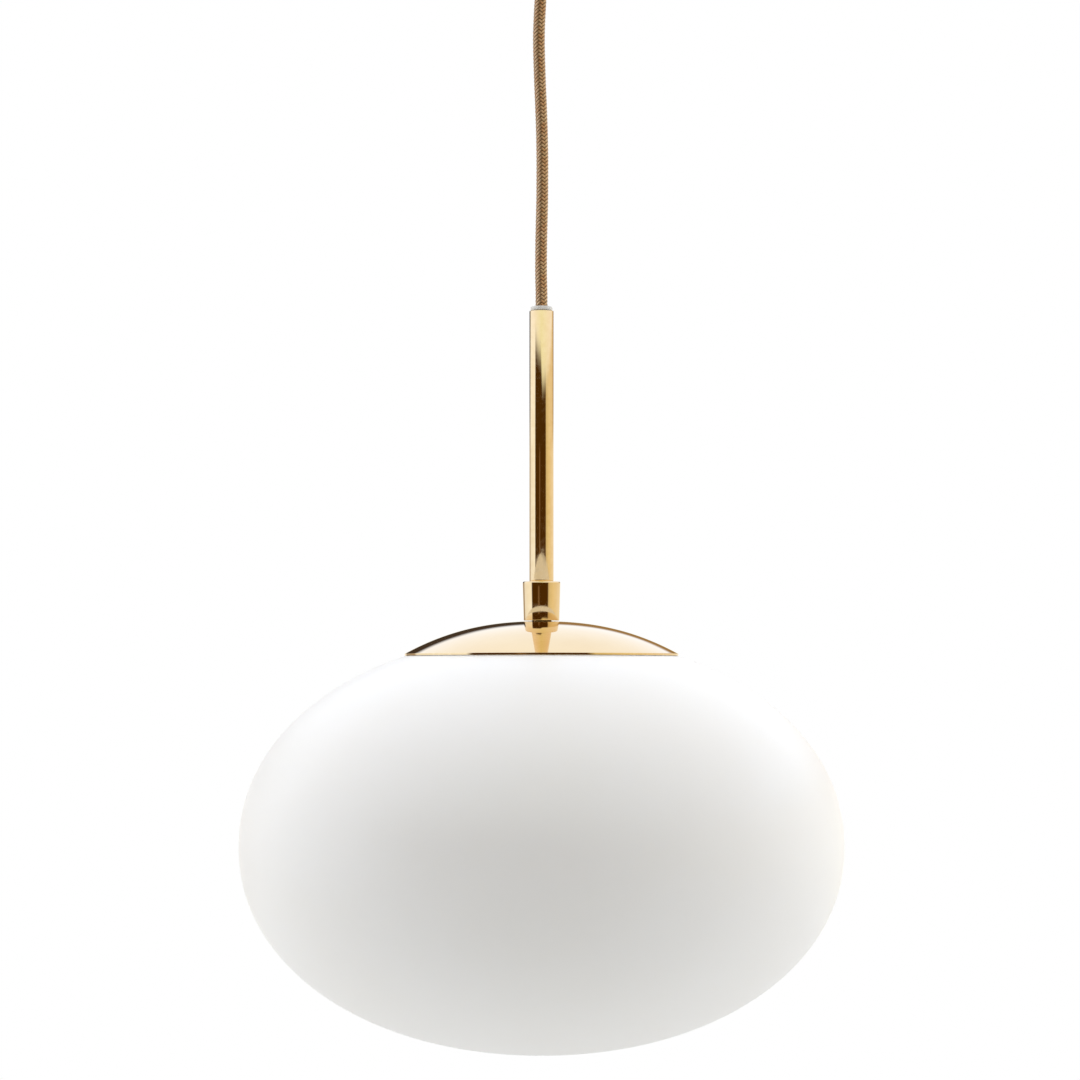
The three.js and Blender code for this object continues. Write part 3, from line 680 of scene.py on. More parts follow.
def edge_wear(name):
    """A mask of the rubbed convex edges, broken up by noise."""
    group, given, result = new_group(
        name,
        [
            ("Place", "NodeSocketVector", None),
            ("Reach", "NodeSocketFloat", 0.04),
            ("Breakup", "NodeSocketFloat", 350.0),
        ],
        ["Mask"],
    )
    point = add_node(group, "ShaderNodeNewGeometry").outputs["Pointiness"]
    high = calc(group, "ADD", 0.51, given["Reach"])
    edges = remap(group, point, 0.51, high)
    broken = remap(group, noise(group, given["Place"], given["Breakup"], 3.0), 0.4, 0.62)
    group.links.new(calc(group, "MULTIPLY", edges, broken), result[0])
    return group


def surface_grain(name):
    """Grain of a moulded, plated or etched surface: a fine part and a slow part."""
    group, given, result = new_group(
        name,
        [
            ("Place", "NodeSocketVector", None),
            ("Stretch", "NodeSocketVector", (1.0, 1.0, 1.0)),
            ("Fine Scale", "NodeSocketFloat", 1200.0),
            ("Slow Scale", "NodeSocketFloat", 60.0),
        ],
        ["Fine", "Slow"],
    )
    inputs = {0: given["Place"], 1: given["Stretch"]}
    place = add_node(group, "ShaderNodeVectorMath", inputs, operation="MULTIPLY").outputs[0]
    group.links.new(noise(group, place, given["Fine Scale"], 2.0, 0.6), result[0])
    group.links.new(noise(group, place, given["Slow Scale"], 3.0, 0.5), result[1])
    return group


# ---- Finishes ----


def brass_finish(name, roughness, ring_strength, tint):
    """Brass turned on a lathe: polished and lacquered where smooth, satin where rough."""
    material, tree = new_material(name)
    place = object_place(tree)
    rings, smudges = use_group(tree, lathe_marks, {"Place": place})
    worn = use_group(tree, edge_wear, {"Place": place})[0]
    deep = tuple(part * shade for part, shade in zip(tint, (0.93, 0.88, 0.8)))
    pale = tuple(min(1.0, part * shade) for part, shade in zip(tint, (1.08, 1.12, 1.22)))
    colour = mix(tree, calc(tree, "MULTIPLY", smudges, 0.35), tuple(tint), deep)
    colour = mix(tree, calc(tree, "MULTIPLY", worn, 0.6), colour, pale)
    shade(tree, {
        "Base Color": colour,
        "Metallic": 1.0,
        "Roughness": add_up(tree, roughness, (rings, ring_strength * 0.5), (smudges, 0.015), (worn, 0.08)),
        "Normal": bump(tree, rings, ring_strength, 0.02 * MM),
    })
    return material


def plated_finish(name, tint, roughness):
    """Zinc or nickel plate over pressed or turned steel, with faint rolling lines and spangle."""
    material, tree = new_material(name)
    place = object_place(tree)
    fine, slow = use_group(tree, surface_grain, {
        "Place": place, "Stretch": (1.0, 12.0, 12.0), "Fine Scale": 500.0, "Slow Scale": 18.0,
    })
    worn = use_group(tree, edge_wear, {"Place": place})[0]
    inputs = {"Vector": place, "Scale": 260.0}
    spangle = add_node(tree, "ShaderNodeTexVoronoi", inputs).outputs["Color"]
    bluish = tuple(part * shade for part, shade in zip(tint, (0.88, 0.93, 1.0)))
    colour = mix(tree, remap(tree, slow, 0.35, 0.65), tuple(tint), bluish)
    colour = mix(tree, 0.05, colour, spangle)
    colour = mix(tree, calc(tree, "MULTIPLY", worn, 0.5), colour, (0.86, 0.86, 0.85))
    rough = calc(tree, "ADD", roughness, remap(tree, fine, 0.3, 0.7, -0.06, 0.08))
    shade(tree, {
        "Base Color": colour,
        "Metallic": 1.0,
        "Roughness": rough,
        "Normal": bump(tree, fine, 0.12, 0.03 * MM),
    })
    return material


def plastic_finish(name, tint, roughness, grain=0.12, coat=0.0):
    """Moulded plastic: a slightly uneven colour, a fine spark-eroded grain and paler edges."""
    material, tree = new_material(name)
    place = object_place(tree)
    fine, slow = use_group(tree, surface_grain, {
        "Place": place, "Fine Scale": 2600.0, "Slow Scale": 70.0,
    })
    worn = use_group(tree, edge_wear, {"Place": place, "Reach": 0.08})[0]
    deep = tuple(part * 0.86 for part in tint)
    pale = tuple(part + (1 - part) * 0.18 for part in tint)
    colour = mix(tree, remap(tree, slow, 0.35, 0.68), tuple(tint), deep)
    colour = mix(tree, calc(tree, "MULTIPLY", worn, 0.5), colour, pale)
    rough = calc(tree, "ADD", roughness, remap(tree, slow, 0.3, 0.7, -0.04, 0.06))
    shade(tree, {
        "Base Color": colour,
        "Roughness": rough,
        "Coat Weight": coat,
        "Coat Roughness": 0.12,
        "Normal": bump(tree, fine, grain, 0.03 * MM),
    })
    return material


def opal_finish(name, tint, roughness, depth):
    """Opal glass: white all through, with the faint waves of blown glass and an etched or bright skin."""
    material, tree = new_material(name)
    place = object_place(tree)
    fine, slow = use_group(tree, surface_grain, {"Place": place, "Fine Scale": 3200.0, "Slow Scale": 9.0})
    cloudy = tuple(part * shade for part, shade in zip(tint, (0.985, 0.98, 0.97)))
    colour = mix(tree, remap(tree, slow, 0.35, 0.65), tuple(tint), cloudy)
    rough = calc(tree, "ADD", roughness, remap(tree, slow, 0.3, 0.7, -0.03, 0.03))
    waves = add_up(tree, slow, (fine, 0.004))
    shade(tree, {
        "Base Color": colour,
        "Roughness": rough,
        "IOR": 1.5,
        "Subsurface Weight": 0.25,
        "Subsurface Radius": (1.0, 0.95, 0.88),
        "Subsurface Scale": depth,
        "Normal": bump(tree, waves, 0.25, 0.6 * MM),
    })
    return material


def textile_finish(name):
    """Braided rayon: each strand is a band of fine shiny threads, with painted shade in the grooves where
    strands dive under, and darker stripes along the threads.
    """
    material, tree = new_material(name)
    place = object_place(tree)
    height = add_node(tree, "ShaderNodeAttribute", attribute_name="strand_height").outputs["Fac"]
    tone = add_node(tree, "ShaderNodeAttribute", attribute_name="strand_tone").outputs["Fac"]
    filament = add_node(tree, "ShaderNodeAttribute", attribute_name="filament").outputs["Fac"]
    across = add_node(tree, "ShaderNodeCombineXYZ", {0: filament}).outputs[0]
    threads = noise(tree, across, 9.0, 2.0, 0.6)
    fuzz = noise(tree, place, 2600.0, 3.0, 0.7)
    patches = noise(tree, place, 420.0, 2.0)
    light = tuple(colours().thread_light)
    # The painted shade colour for the grooves between strands
    dark = tuple(colours().painted_groove_shade)
    warm = tuple(part * shade for part, shade in zip(light, (1.0, 0.68, 0.5)))
    pale = tuple(min(1.0, part * shade) for part, shade in zip(light, (1.18, 1.25, 1.4)))
    yarn = mix(tree, remap(tree, patches, 0.35, 0.65), light, warm)
    yarn = mix(tree, calc(tree, "MULTIPLY", tone, 0.7), yarn, pale)
    raised = remap(tree, height, 0.45, 0.95, smooth=True)
    # Painted shade: the low parts of the braid, where strands dive under, are mixed toward the dark brown
    colour = mix(tree, raised, dark, yarn)
    # Darker stripes along the threads, mixed toward the same dark brown
    colour = mix(tree, remap(tree, threads, 0.35, 0.65, 0.0, 0.35), colour, dark)
    relief = add_up(tree, 0.0, (threads, 0.6), (fuzz, 0.4))
    shade(tree, {
        "Base Color": colour,
        "Roughness": remap(tree, fuzz, 0.3, 0.7, 0.28, 0.44),
        "Metallic": 0.85,
        "Sheen Weight": 0.9,
        "Sheen Roughness": 0.35,
        "Sheen Tint": (1.0, 0.86, 0.66, 1.0),
        "Normal": bump(tree, relief, 0.2, 0.12 * MM),
    })
    return material


def striped_finish(name, first, second):
    """Wire insulation in two colours, which change as bands round the wire."""
    material, tree = new_material(name)
    place = object_place(tree)
    axes = add_node(tree, "ShaderNodeSeparateXYZ", {0: place}).outputs
    winding = calc(tree, "SINE", calc(tree, "MULTIPLY", axes[0], 1400.0))
    fine, slow = use_group(tree, surface_grain, {"Place": place})
    colour = mix(tree, remap(tree, winding, -0.15, 0.15), first, second)
    colour = mix(tree, remap(tree, slow, 0.4, 0.7, 0.0, 0.2), colour, (0.02, 0.02, 0.02))
    shade(tree, {
        "Base Color": colour,
        "Roughness": remap(tree, slow, 0.3, 0.7, 0.35, 0.5),
        "Normal": bump(tree, fine, 0.1, 0.03 * MM),
    })
    return material


def floor_finish(name):
    """Pale painted floor."""
    material, tree = new_material(name)
    place = object_place(tree)
    fine, slow = use_group(tree, surface_grain, {"Place": place, "Fine Scale": 90.0, "Slow Scale": 1.2})
    colour = mix(tree, remap(tree, slow, 0.3, 0.7), (0.66, 0.66, 0.65), (0.62, 0.62, 0.61))
    shade(tree, {
        "Base Color": colour,
        "Roughness": remap(tree, slow, 0.3, 0.7, 0.6, 0.7),
        "Normal": bump(tree, fine, 0.05, 0.5 * MM),
    })
    return material


def finish(name):
    """A finish by name, made when it is first used."""
    label = f"{name}_finish"
    made = bpy.data.materials.get(label)
    if made:
        return made
    brass = tuple(colours().brass)
    steel = tuple(colours().steel)
    white = tuple(colours().white_plastic)
    makers = {
        "polished_brass": lambda: brass_finish(label, 0.03, 0.03, brass),
        "turned_brass": lambda: brass_finish(label, 0.24, 0.3, tuple(part * 0.93 for part in brass)),
        "zinc_steel": lambda: plated_finish(label, steel, 0.3),
        "nickel": lambda: plated_finish(label, (0.70, 0.68, 0.64), 0.16),
        "spring_steel": lambda: plated_finish(label, (0.60, 0.61, 0.63), 0.2),
        "opal_satin": lambda: opal_finish(label, tuple(colours().glass), 0.42, 5 * MM),
        "opal_bright": lambda: opal_finish(label, tuple(colours().glass), 0.14, 5 * MM),
        "braided_textile": lambda: textile_finish(label),
        "white_plastic": lambda: plastic_finish(label, white, 0.42),
        "porcelain": lambda: plastic_finish(label, (0.80, 0.79, 0.76), 0.2, 0.03, 0.6),
        "black_plastic": lambda: plastic_finish(label, tuple(colours().black_plastic), 0.22, 0.05, 0.3),
        "silicone": lambda: plastic_finish(label, (0.72, 0.71, 0.67), 0.6, 0.2),
        "diffuser": lambda: opal_finish(label, (0.9, 0.9, 0.88), 0.32, 2 * MM),
        "board": lambda: plastic_finish(label, (0.82, 0.83, 0.83), 0.3, 0.06),
        "phosphor": lambda: plastic_finish(label, (0.80, 0.62, 0.10), 0.35, 0.2),
        "brown_insulation": lambda: plastic_finish(label, (0.11, 0.045, 0.02), 0.36, 0.06),
        "blue_insulation": lambda: plastic_finish(label, (0.02, 0.11, 0.38), 0.36, 0.06),
        "earth_insulation": lambda: striped_finish(label, (0.05, 0.27, 0.03), (0.75, 0.62, 0.03)),
        "floor_paint": lambda: floor_finish(label),
    }
    return makers[name]()


# ---- Shapes shared by neighbouring pieces ----


def cap_face(radius, inside=0.0):
    """Height of the dome cap's outer face at a radius, or of the face that far inside it."""
    return top_of("dome_cap") - inside - CAP_DEPTH * (radius / radius_of("dome_cap")) ** CAP_CURVE


def globe_equator():
    return bottom_of("opal_glass") + GLOBE_DROP


def globe_face(radius, inside=0.0):
    """Height of the globe's crown at a radius, or of the face that far inside it."""
    share = min(radius / (radius_of("opal_glass") - inside), 1.0)
    rise = (GLOBE_RISE - inside) * (1 - share**GLOBE_ROUNDNESS) ** (1 / GLOBE_ROUNDNESS)
    return globe_equator() + rise


def globe_meridian(inside, steps):
    """The globe's outline from its lowest point up to the mouth, that far inside its outer face."""
    reach = radius_of("opal_glass") - inside
    last = math.acos((GLOBE_MOUTH / reach) ** (GLOBE_ROUNDNESS / 2))
    points = []
    for i in range(steps + 1):
        angle = -math.pi / 2 + (last + math.pi / 2) * i / steps
        height = (GLOBE_DROP if angle < 0 else GLOBE_RISE) - inside
        across = math.cos(angle) ** (2 / GLOBE_ROUNDNESS) if i else 0.0
        up = math.copysign(abs(math.sin(angle)) ** (2 / GLOBE_ROUNDNESS), angle)
        points.append((reach * across, globe_equator() + height * up))
    return points


# ---- Stage ----


class PENDANT_OT_stage(bpy.types.Operator):
    """Make the camera, the pale floor and the soft studio light"""

    bl_idname = "pendant.stage"
    bl_label = "Camera and studio"

    camera_distance = 2.0
    camera_height = -406 * MM
    camera_aside = -0.75 * MM
    camera_tilt = 2.13
    lens = 134.0
    floor_height = -1.25
    floor_radius = 4.0

    # Light that matt surfaces see: even, with a dark patch toward the camera
    soft_strength = 1.71
    soft_rise = -0.27
    patch_depth = 2.85
    patch_power = 3.0
    patch_facing = (-0.01, -0.99, 0.06)
    soft_tint = (1.0, 0.998, 0.992)
    patch_tint = (1.0, 0.92, 0.86)
    least_light = 0.03

    # What mirrors see, by the sine of its height: horizon, then the band above it, then overhead
    band_start = (0.06, 0.1)
    overhead_start = (0.26, 0.36)
    aside_limit = 0.12
    aside_lift = 0.35

    # Azimuth is measured from the camera, positive to the right
    horizon = [
        (-180, (1.04, 0.95, 0.72)),
        (-162, (1.0, 0.93, 0.78)),
        (-158, (0.42, 0.36, 0.28)),
        (-134, (0.50, 0.42, 0.33)),
        (-130, (1.05, 1.12, 1.25)),
        (-66, (1.2, 1.31, 1.5)),
        (-60, (0.076, 0.031, 0.002)),
        (-24, (0.08, 0.033, 0.003)),
        (-17, (0.26, 0.16, 0.08)),
        (-10, (0.08, 0.033, 0.003)),
        (39, (0.085, 0.036, 0.004)),
        (46, (0.80, 0.70, 0.42)),
        (75, (0.98, 0.86, 0.56)),
        (120, (1.02, 0.95, 0.80)),
        (180, (1.04, 0.95, 0.72)),
    ]
    low_band = [
        (-180, (0.06, 0.04, 0.025)),
        (-140, (0.06, 0.04, 0.025)),
        (-130, (1.2, 1.3, 1.5)),
        (-66, (1.2, 1.31, 1.5)),
        (-60, (0.08, 0.035, 0.004)),
        (39, (0.08, 0.035, 0.004)),
        (46, (0.80, 0.70, 0.42)),
        (80, (0.98, 0.88, 0.62)),
        (120, (0.95, 0.82, 0.58)),
        (160, (0.42, 0.25, 0.08)),
        (180, (0.34, 0.20, 0.075)),
    ]
    overhead = [
        (-180, (1.18, 1.30, 1.54)),
        (-90, (1.2, 1.28, 1.5)),
        (0, (1.08, 1.17, 0.98)),
        (90, (1.15, 1.18, 1.25)),
        (180, (1.18, 1.30, 1.54)),
    ]

    def execute(self, context):
        self.make_camera(context)
        self.make_floor(context)
        self.make_studio(context)
        context.scene.view_settings.view_transform = "Standard"
        return {"FINISHED"}

    def make_camera(self, context):
        camera = bpy.data.objects.new("camera", bpy.data.cameras.new("camera"))
        context.scene.collection.objects.link(camera)
        camera.data.lens = self.lens
        camera.data.sensor_width = 36
        camera.location = (self.camera_aside, -self.camera_distance, self.camera_height)
        camera.rotation_euler = (math.radians(90 + self.camera_tilt), 0, 0)
        context.scene.camera = camera

    def make_floor(self, context):
        bm = bmesh.new()
        bmesh.ops.create_circle(bm, cap_ends=True, segments=96, radius=self.floor_radius)
        bmesh.ops.translate(bm, verts=bm.verts, vec=(0, 0, self.floor_height))
        mesh = bpy.data.meshes.new("studio_floor")
        bm.to_mesh(mesh)
        bm.free()
        floor = bpy.data.objects.new("studio_floor", mesh)
        mesh.materials.append(finish("floor_paint"))
        context.scene.collection.objects.link(floor)

    def make_studio(self, context):
        """White behind the light, soft light on it, and dark and bright panels to reflect."""
        world = bpy.data.worlds.new("studio")
        world.use_nodes = True
        tree = world.node_tree
        tree.nodes.clear()
        direction = add_node(tree, "ShaderNodeTexCoord").outputs["Generated"]
        axes = add_node(tree, "ShaderNodeSeparateXYZ", {0: direction}).outputs
        azimuth = calc(tree, "ARCTAN2", axes[0], calc(tree, "MULTIPLY", axes[1], -1.0))
        share = remap(tree, azimuth, -math.pi, math.pi)
        panels, band, above = (
            ramp(tree, share, [((180 + place) / 360, colour) for place, colour in stops])
            for stops in (self.horizon, self.low_band, self.overhead)
        )
        panels = mix(tree, remap(tree, axes[2], *self.band_start, smooth=True), panels, band)
        aside = calc(tree, "MINIMUM", calc(tree, "MAXIMUM", axes[0], -self.aside_limit), self.aside_limit)
        lifted = add_up(tree, axes[2], (aside, self.aside_lift))
        panels = mix(tree, remap(tree, lifted, *self.overhead_start, smooth=True), panels, above)

        inputs = {0: direction, 1: self.patch_facing}
        toward = add_node(tree, "ShaderNodeVectorMath", inputs, operation="DOT_PRODUCT").outputs["Value"]
        patch = calc(tree, "POWER", calc(tree, "MAXIMUM", toward, 0.0), self.patch_power)
        strength = add_up(tree, self.soft_strength, (axes[2], self.soft_rise), (patch, -self.patch_depth))
        strength = calc(tree, "MAXIMUM", strength, self.least_light)
        tint = mix(tree, patch, self.soft_tint, self.patch_tint)
        soft = mix(tree, 1.0, tint, strength, "MULTIPLY")

        ray = add_node(tree, "ShaderNodeLightPath").outputs
        light = mix(tree, ray["Is Glossy Ray"], soft, panels)
        light = mix(tree, ray["Is Camera Ray"], light, tuple(colours().backdrop))
        background = add_node(tree, "ShaderNodeBackground", {"Color": light, "Strength": 1.0})
        add_node(tree, "ShaderNodeOutputWorld", {"Surface": background.outputs[0]})
        world.cycles.sampling_method = "NONE"  # keeps the light that mirrors see apart from the soft light
        context.scene.world = world


# ---- Cord ----


class PENDANT_OT_cord(bpy.types.Operator):
    """Make the braided textile cord, with the lengths that the gland and the stem hold"""

    bl_idname = "pendant.cord"
    bl_label = "Braided cord"

    def execute(self, context):
        radius = (BOX["cord_bend"][1].x - BOX["cord_bend"][0].x) / 2
        line = smooth_line([Vector(point) * MM for point in CORD_ROUTE], 1.5 * MM)
        length = sum((end - start).length for start, end in zip(line, line[1:]))
        bm = self.braided(radius, length, 0.2 * MM, 80)
        lay_along(bm, line)
        cord = finished(
            bm, "braided_cord", "hanging_cord", finish("braided_textile"),
            smooth=180, replaces=["hanging_cord", "cord_bend"],
        )
        for name, node in (("gland_cord", "cord_in_gland"), ("stem_cord", "cord_in_stem")):
            low, high = heights_of(node)
            held = self.braided(radius, high - low, 0.55 * MM, 40)
            bmesh.ops.translate(held, verts=held.verts, vec=(0, 0, low))
            finished(held, name, node, finish("braided_textile"), smooth=180)
        return {"FINISHED"}

    def braided(self, radius, length, step, sides):
        bm = rod(radius, length, round(length / step), sides)
        braid(bm, radius, sizes().strands, sizes().braid_lead, sizes().strand_height)
        return bm


# ---- Stem ----


class PENDANT_OT_stem(bpy.types.Operator):
    """Make the white bush, the brass tube, its coupler and the hollow nipple inside"""

    bl_idname = "pendant.stem"
    bl_label = "Stem"

    def execute(self, context):
        edge = sizes().edge_radius
        self.make_bush()
        outer, wall = radius_of("stem_tube"), 1.0 * MM
        tube = ring_outline(outer - wall, outer, *heights_of("stem_tube"))
        finished(turned(tube, 128, edge), "brass_stem", "stem_tube", finish("polished_brass"))
        self.make_coupler(edge)
        self.make_nipple()
        return {"FINISHED"}

    def make_bush(self):
        low, high = heights_of("stem_bush")
        flange = radius_of("stem_bush")
        bore = CORD_HOLE
        body = flange - 0.7 * MM
        under = high - 2 * MM
        outline = [
            (bore, low),
            (body - 0.3 * MM, low),
            (body, low + 1 * MM),
            (body, under),
            (flange, under),
            *arc(flange - 0.7 * MM, high - 0.7 * MM, 0.7 * MM, 0, 90),
            *arc(bore + 0.6 * MM, high - 0.6 * MM, 0.6 * MM, 90, 180),
        ]
        finished(turned(outline, 64, 0.15 * MM), "cord_bush", "stem_bush", finish("white_plastic"))

    def make_coupler(self, edge):
        low, high = heights_of("stem_coupler")
        top_radius = radius_of("stem_coupler")
        foot_radius = top_radius - 0.5 * MM
        bore = NIPPLE_HOLE
        socket = radius_of("stem_tube") + FIT_GAP
        floor = bottom_of("stem_tube") - FIT_GAP
        round_over = 0.8 * MM
        outline = [
            (bore, low),
            (foot_radius, low),
            *arc(top_radius - round_over, high - round_over, round_over, 0, 90),
            (socket, high),
            (socket, floor),
            (bore, floor),
        ]
        coupler = turned(outline, 128, edge)
        finished(coupler, "brass_coupler", "stem_coupler", finish("polished_brass"))

    def make_nipple(self):
        low, high = heights_of("stem_nipple")
        outer = radius_of("stem_nipple")
        bore = outer - 1.3 * MM
        wall = between((outer, low), (outer, high), round((high - low) / (0.16 * MM)))
        bm = turned([(bore, low), *wall, (bore, high)], 48)
        thread(bm, 1.0 * MM, -0.45 * MM, outer - 0.01 * MM, outer + 0.01 * MM, low, high)
        finished(bm, "threaded_nipple", "stem_nipple", finish("turned_brass"))


# ---- Head ----


class PENDANT_OT_dome_cap(bpy.types.Operator):
    """Make the shallow spun brass cap"""

    bl_idname = "pendant.dome_cap"
    bl_label = "Dome cap"

    def execute(self, context):
        rim = radius_of("dome_cap")
        wide = rim - NIPPLE_HOLE
        steps = 56
        radii = [NIPPLE_HOLE + wide * math.sin(math.pi / 2 * i / steps) for i in range(steps + 1)]
        outer = [(radius, cap_face(radius)) for radius in reversed(radii)]
        inner = [(radius, cap_face(radius, CAP_WALL)) for radius in radii]
        bm = turned(inner + outer, 256, sizes().edge_radius, 3)
        finished(bm, "brass_dome_cap", "dome_cap", finish("polished_brass"))
        return {"FINISHED"}


class PENDANT_OT_globe(bpy.types.Operator):
    """Make the blown opal glass globe and the silicone ring that seats it under the cap"""

    bl_idname = "pendant.globe"
    bl_label = "Opal globe"

    def execute(self, context):
        outer = globe_meridian(0.0, 120)
        inner = globe_meridian(GLOBE_WALL, 120)
        bm = turned(outer + inner[::-1], 224, sizes().lip_radius, 4)
        middle = Vector((0, 0, globe_equator()))
        for face in bm.faces:
            face.material_index = int(face.normal.dot(face.calc_center_median() - middle) < 0)
        finished(bm, "opal_globe", "opal_glass", [finish("opal_satin"), finish("opal_bright")])

        low, high = 53.5 * MM, radius_of("glass_gasket")
        radii = [low + (high - low) * i / 6 for i in range(7)]
        under = [(radius, globe_face(radius) + FIT_GAP) for radius in radii]
        over = [(radius, cap_face(radius, CAP_WALL) - FIT_GAP) for radius in reversed(radii)]
        ring = turned(under + over, 128, 0.5 * MM, 3)
        finished(ring, "silicone_gasket", "glass_gasket", finish("silicone"))
        return {"FINISHED"}


class PENDANT_OT_carrier(bpy.types.Operator):
    """Make the steel carrier under the cap with its spacer, nut, spring arms and rivets"""

    bl_idname = "pendant.carrier"
    bl_label = "Glass carrier"

    def execute(self, context):
        edge = sizes().pressed_edge
        steel = finish("zinc_steel")
        finished(softened("glass_carrier", edge), "steel_carrier", "glass_carrier", steel)
        finished(softened("carrier_nut", 0.4 * MM), "hexagon_nut", "carrier_nut", steel)
        spacer = ring_outline(NIPPLE_HOLE, radius_of("cap_spacer"), *heights_of("cap_spacer"))
        finished(turned(spacer, 64, edge), "spacer_ring", "cap_spacer", steel)
        for i in (1, 2, 3):
            arm = softened(f"spring_arm_{i}", 0.18 * MM)
            finished(arm, f"spring_strip_{i}", f"spring_arm_{i}", finish("spring_steel"))
            rivet(f"spring_rivet_{i}", f"arm_rivet_{i}", 1.2 * MM, steel)
        return {"FINISHED"}


# ---- Ceiling ----


class PENDANT_OT_cup(bpy.types.Operator):
    """Make the brass ceiling cup and the fluted ring nut that holds it up"""

    bl_idname = "pendant.cup"
    bl_label = "Ceiling cup"

    def execute(self, context):
        low, high = heights_of("ceiling_cup")
        outer = radius_of("ceiling_cup")
        bore = 10.3 * MM
        wall = 1.2 * MM
        round_over = 8 * MM
        outline = [
            (bore, low),
            *arc(outer - round_over, low + round_over, round_over, -90, 0, 14),
            (outer, high),
            (outer - wall, high),
            *arc(outer - round_over, low + round_over, round_over - wall, 0, -90, 14),
            (bore, low + wall),
        ]
        cup = turned(outline, 192, sizes().edge_radius)
        finished(cup, "brass_ceiling_cup", "ceiling_cup", finish("polished_brass"))

        low, high = heights_of("ring_nut")
        outer = radius_of("ring_nut")
        chamfer = 0.7 * MM
        outline = [
            (bore, low),
            *arc(outer - chamfer, low + chamfer, chamfer, -90, 0),
            *arc(outer - chamfer, high - chamfer, chamfer, 0, 90),
            (bore, high),
        ]
        nut = turned(outline, 288, 0.2 * MM)
        flute(nut, sizes().grip_flutes, 0.9 * MM, outer - 1.2 * MM, low, high)
        finished(nut, "fluted_ring_nut", "ring_nut", finish("polished_brass"))
        return {"FINISHED"}


class PENDANT_OT_gland(bpy.types.Operator):
    """Make the threaded cord gland, its lock nut, collet and clamp screw"""

    bl_idname = "pendant.gland"
    bl_label = "Cord gland"

    def execute(self, context):
        low, high = heights_of("gland_tube")
        outer, bore = 10 * MM, 6 * MM
        shoulder = radius_of("gland_tube")
        shoulder_top = bottom_of("gland_bridge") - FIT_GAP
        shoulder_low = shoulder_top - 2.7 * MM
        round_over = 1.0 * MM
        pitch = sizes().gland_pitch
        rows = 7 / pitch
        screwed = [
            between((outer, start), (outer, end), round((end - start) * rows))
            for start, end in ((low + round_over, shoulder_low), (shoulder_top, high))
        ]
        outline = [
            (bore, low),
            *arc(outer - round_over, low + round_over, round_over, -90, 0)[:-1],
            *screwed[0],
            (shoulder, shoulder_low),
            (shoulder, shoulder_top),
            *screwed[1],
            (bore, high),
        ]
        bm = turned(outline, 96, 0.15 * MM)
        skin = 0.02 * MM
        thread(bm, pitch, -0.5 * MM, outer - skin, outer + skin, low + 2.2 * MM, shoulder_low)
        thread(bm, pitch, -0.5 * MM, outer - skin, outer + skin, shoulder_top, high)
        finished(bm, "threaded_gland", "gland_tube", finish("polished_brass"))

        nut = softened("gland_lock_nut", 0.4 * MM)
        finished(nut, "gland_back_nut", "gland_lock_nut", finish("turned_brass"))

        low, high = heights_of("cord_collet")
        outer, bore = radius_of("cord_collet"), CORD_HOLE
        outline = [
            *arc(bore + 0.8 * MM, low + 0.8 * MM, 0.8 * MM, 180, 270),
            (outer, low),
            (outer, high),
            (bore, high),
        ]
        finished(turned(outline, 64, 0.2 * MM), "collet_sleeve", "cord_collet", finish("white_plastic"))
        slotted_screw(
            "nylon_clamp_screw", "cord_clamp_screw", 2.6 * MM, 3 * MM, 2 * MM, (1, 0, 0),
            finish("white_plastic"),
        )
        return {"FINISHED"}


class PENDANT_OT_ceiling_plate(bpy.types.Operator):
    """Make the ceiling plate, its bridge and rivets, the terminal block and the screws"""

    bl_idname = "pendant.ceiling_plate"
    bl_label = "Ceiling plate"

    def execute(self, context):
        steel = finish("zinc_steel")
        edge = sizes().pressed_edge
        finished(softened("ceiling_plate", edge), "pressed_plate", "ceiling_plate", steel)
        finished(softened("gland_bridge", 0.5 * MM, 3), "pressed_bridge", "gland_bridge", steel)
        for side in ("left", "right"):
            rivet(f"plate_rivet_{side}", f"bridge_rivet_{side}", 1.4 * MM, steel)
        block = softened("terminal_block", 0.3 * MM)
        finished(block, "connector_block", "terminal_block", finish("white_plastic"))
        self.make_clamp_tubes()
        down = (0, 0, -1)
        for i in (1, 2, 3, 4):
            node = f"terminal_screw_{i}"
            slotted_screw(f"clamp_screw_{i}", node, 1.5 * MM, 2 * MM, 1.3 * MM, down, steel)
        slotted_screw("fixing_screw", "block_fixing_screw", 1.8 * MM, 2 * MM, 1.5 * MM, down, steel)
        slotted_screw(
            "brass_earth_screw", "earth_screw", 3 * MM, 2 * MM, 1.5 * MM, down,
            finish("turned_brass"),
        )
        return {"FINISHED"}

    def make_clamp_tubes(self):
        """The brass tubes in the block's two bores, which the screws clamp the wires in."""
        low, high = BOX["terminal_block"]
        centre = (low + high) / 2
        reach = (high.y - low.y) / 2 - 1.5 * MM
        bm = bmesh.new()
        for side in (-1, 1):
            tube = turned(ring_outline(1.6 * MM, 1.95 * MM, -reach, reach), 32)
            tube.transform(
                Matrix.Translation((side * 4.5 * MM, centre.y, centre.z))
                @ Matrix.Rotation(math.pi / 2, 4, "X")
            )
            take_in(bm, tube)
        finished(
            bm, "clamp_tubes", "terminal_block", finish("turned_brass"), replaces=[],
        )


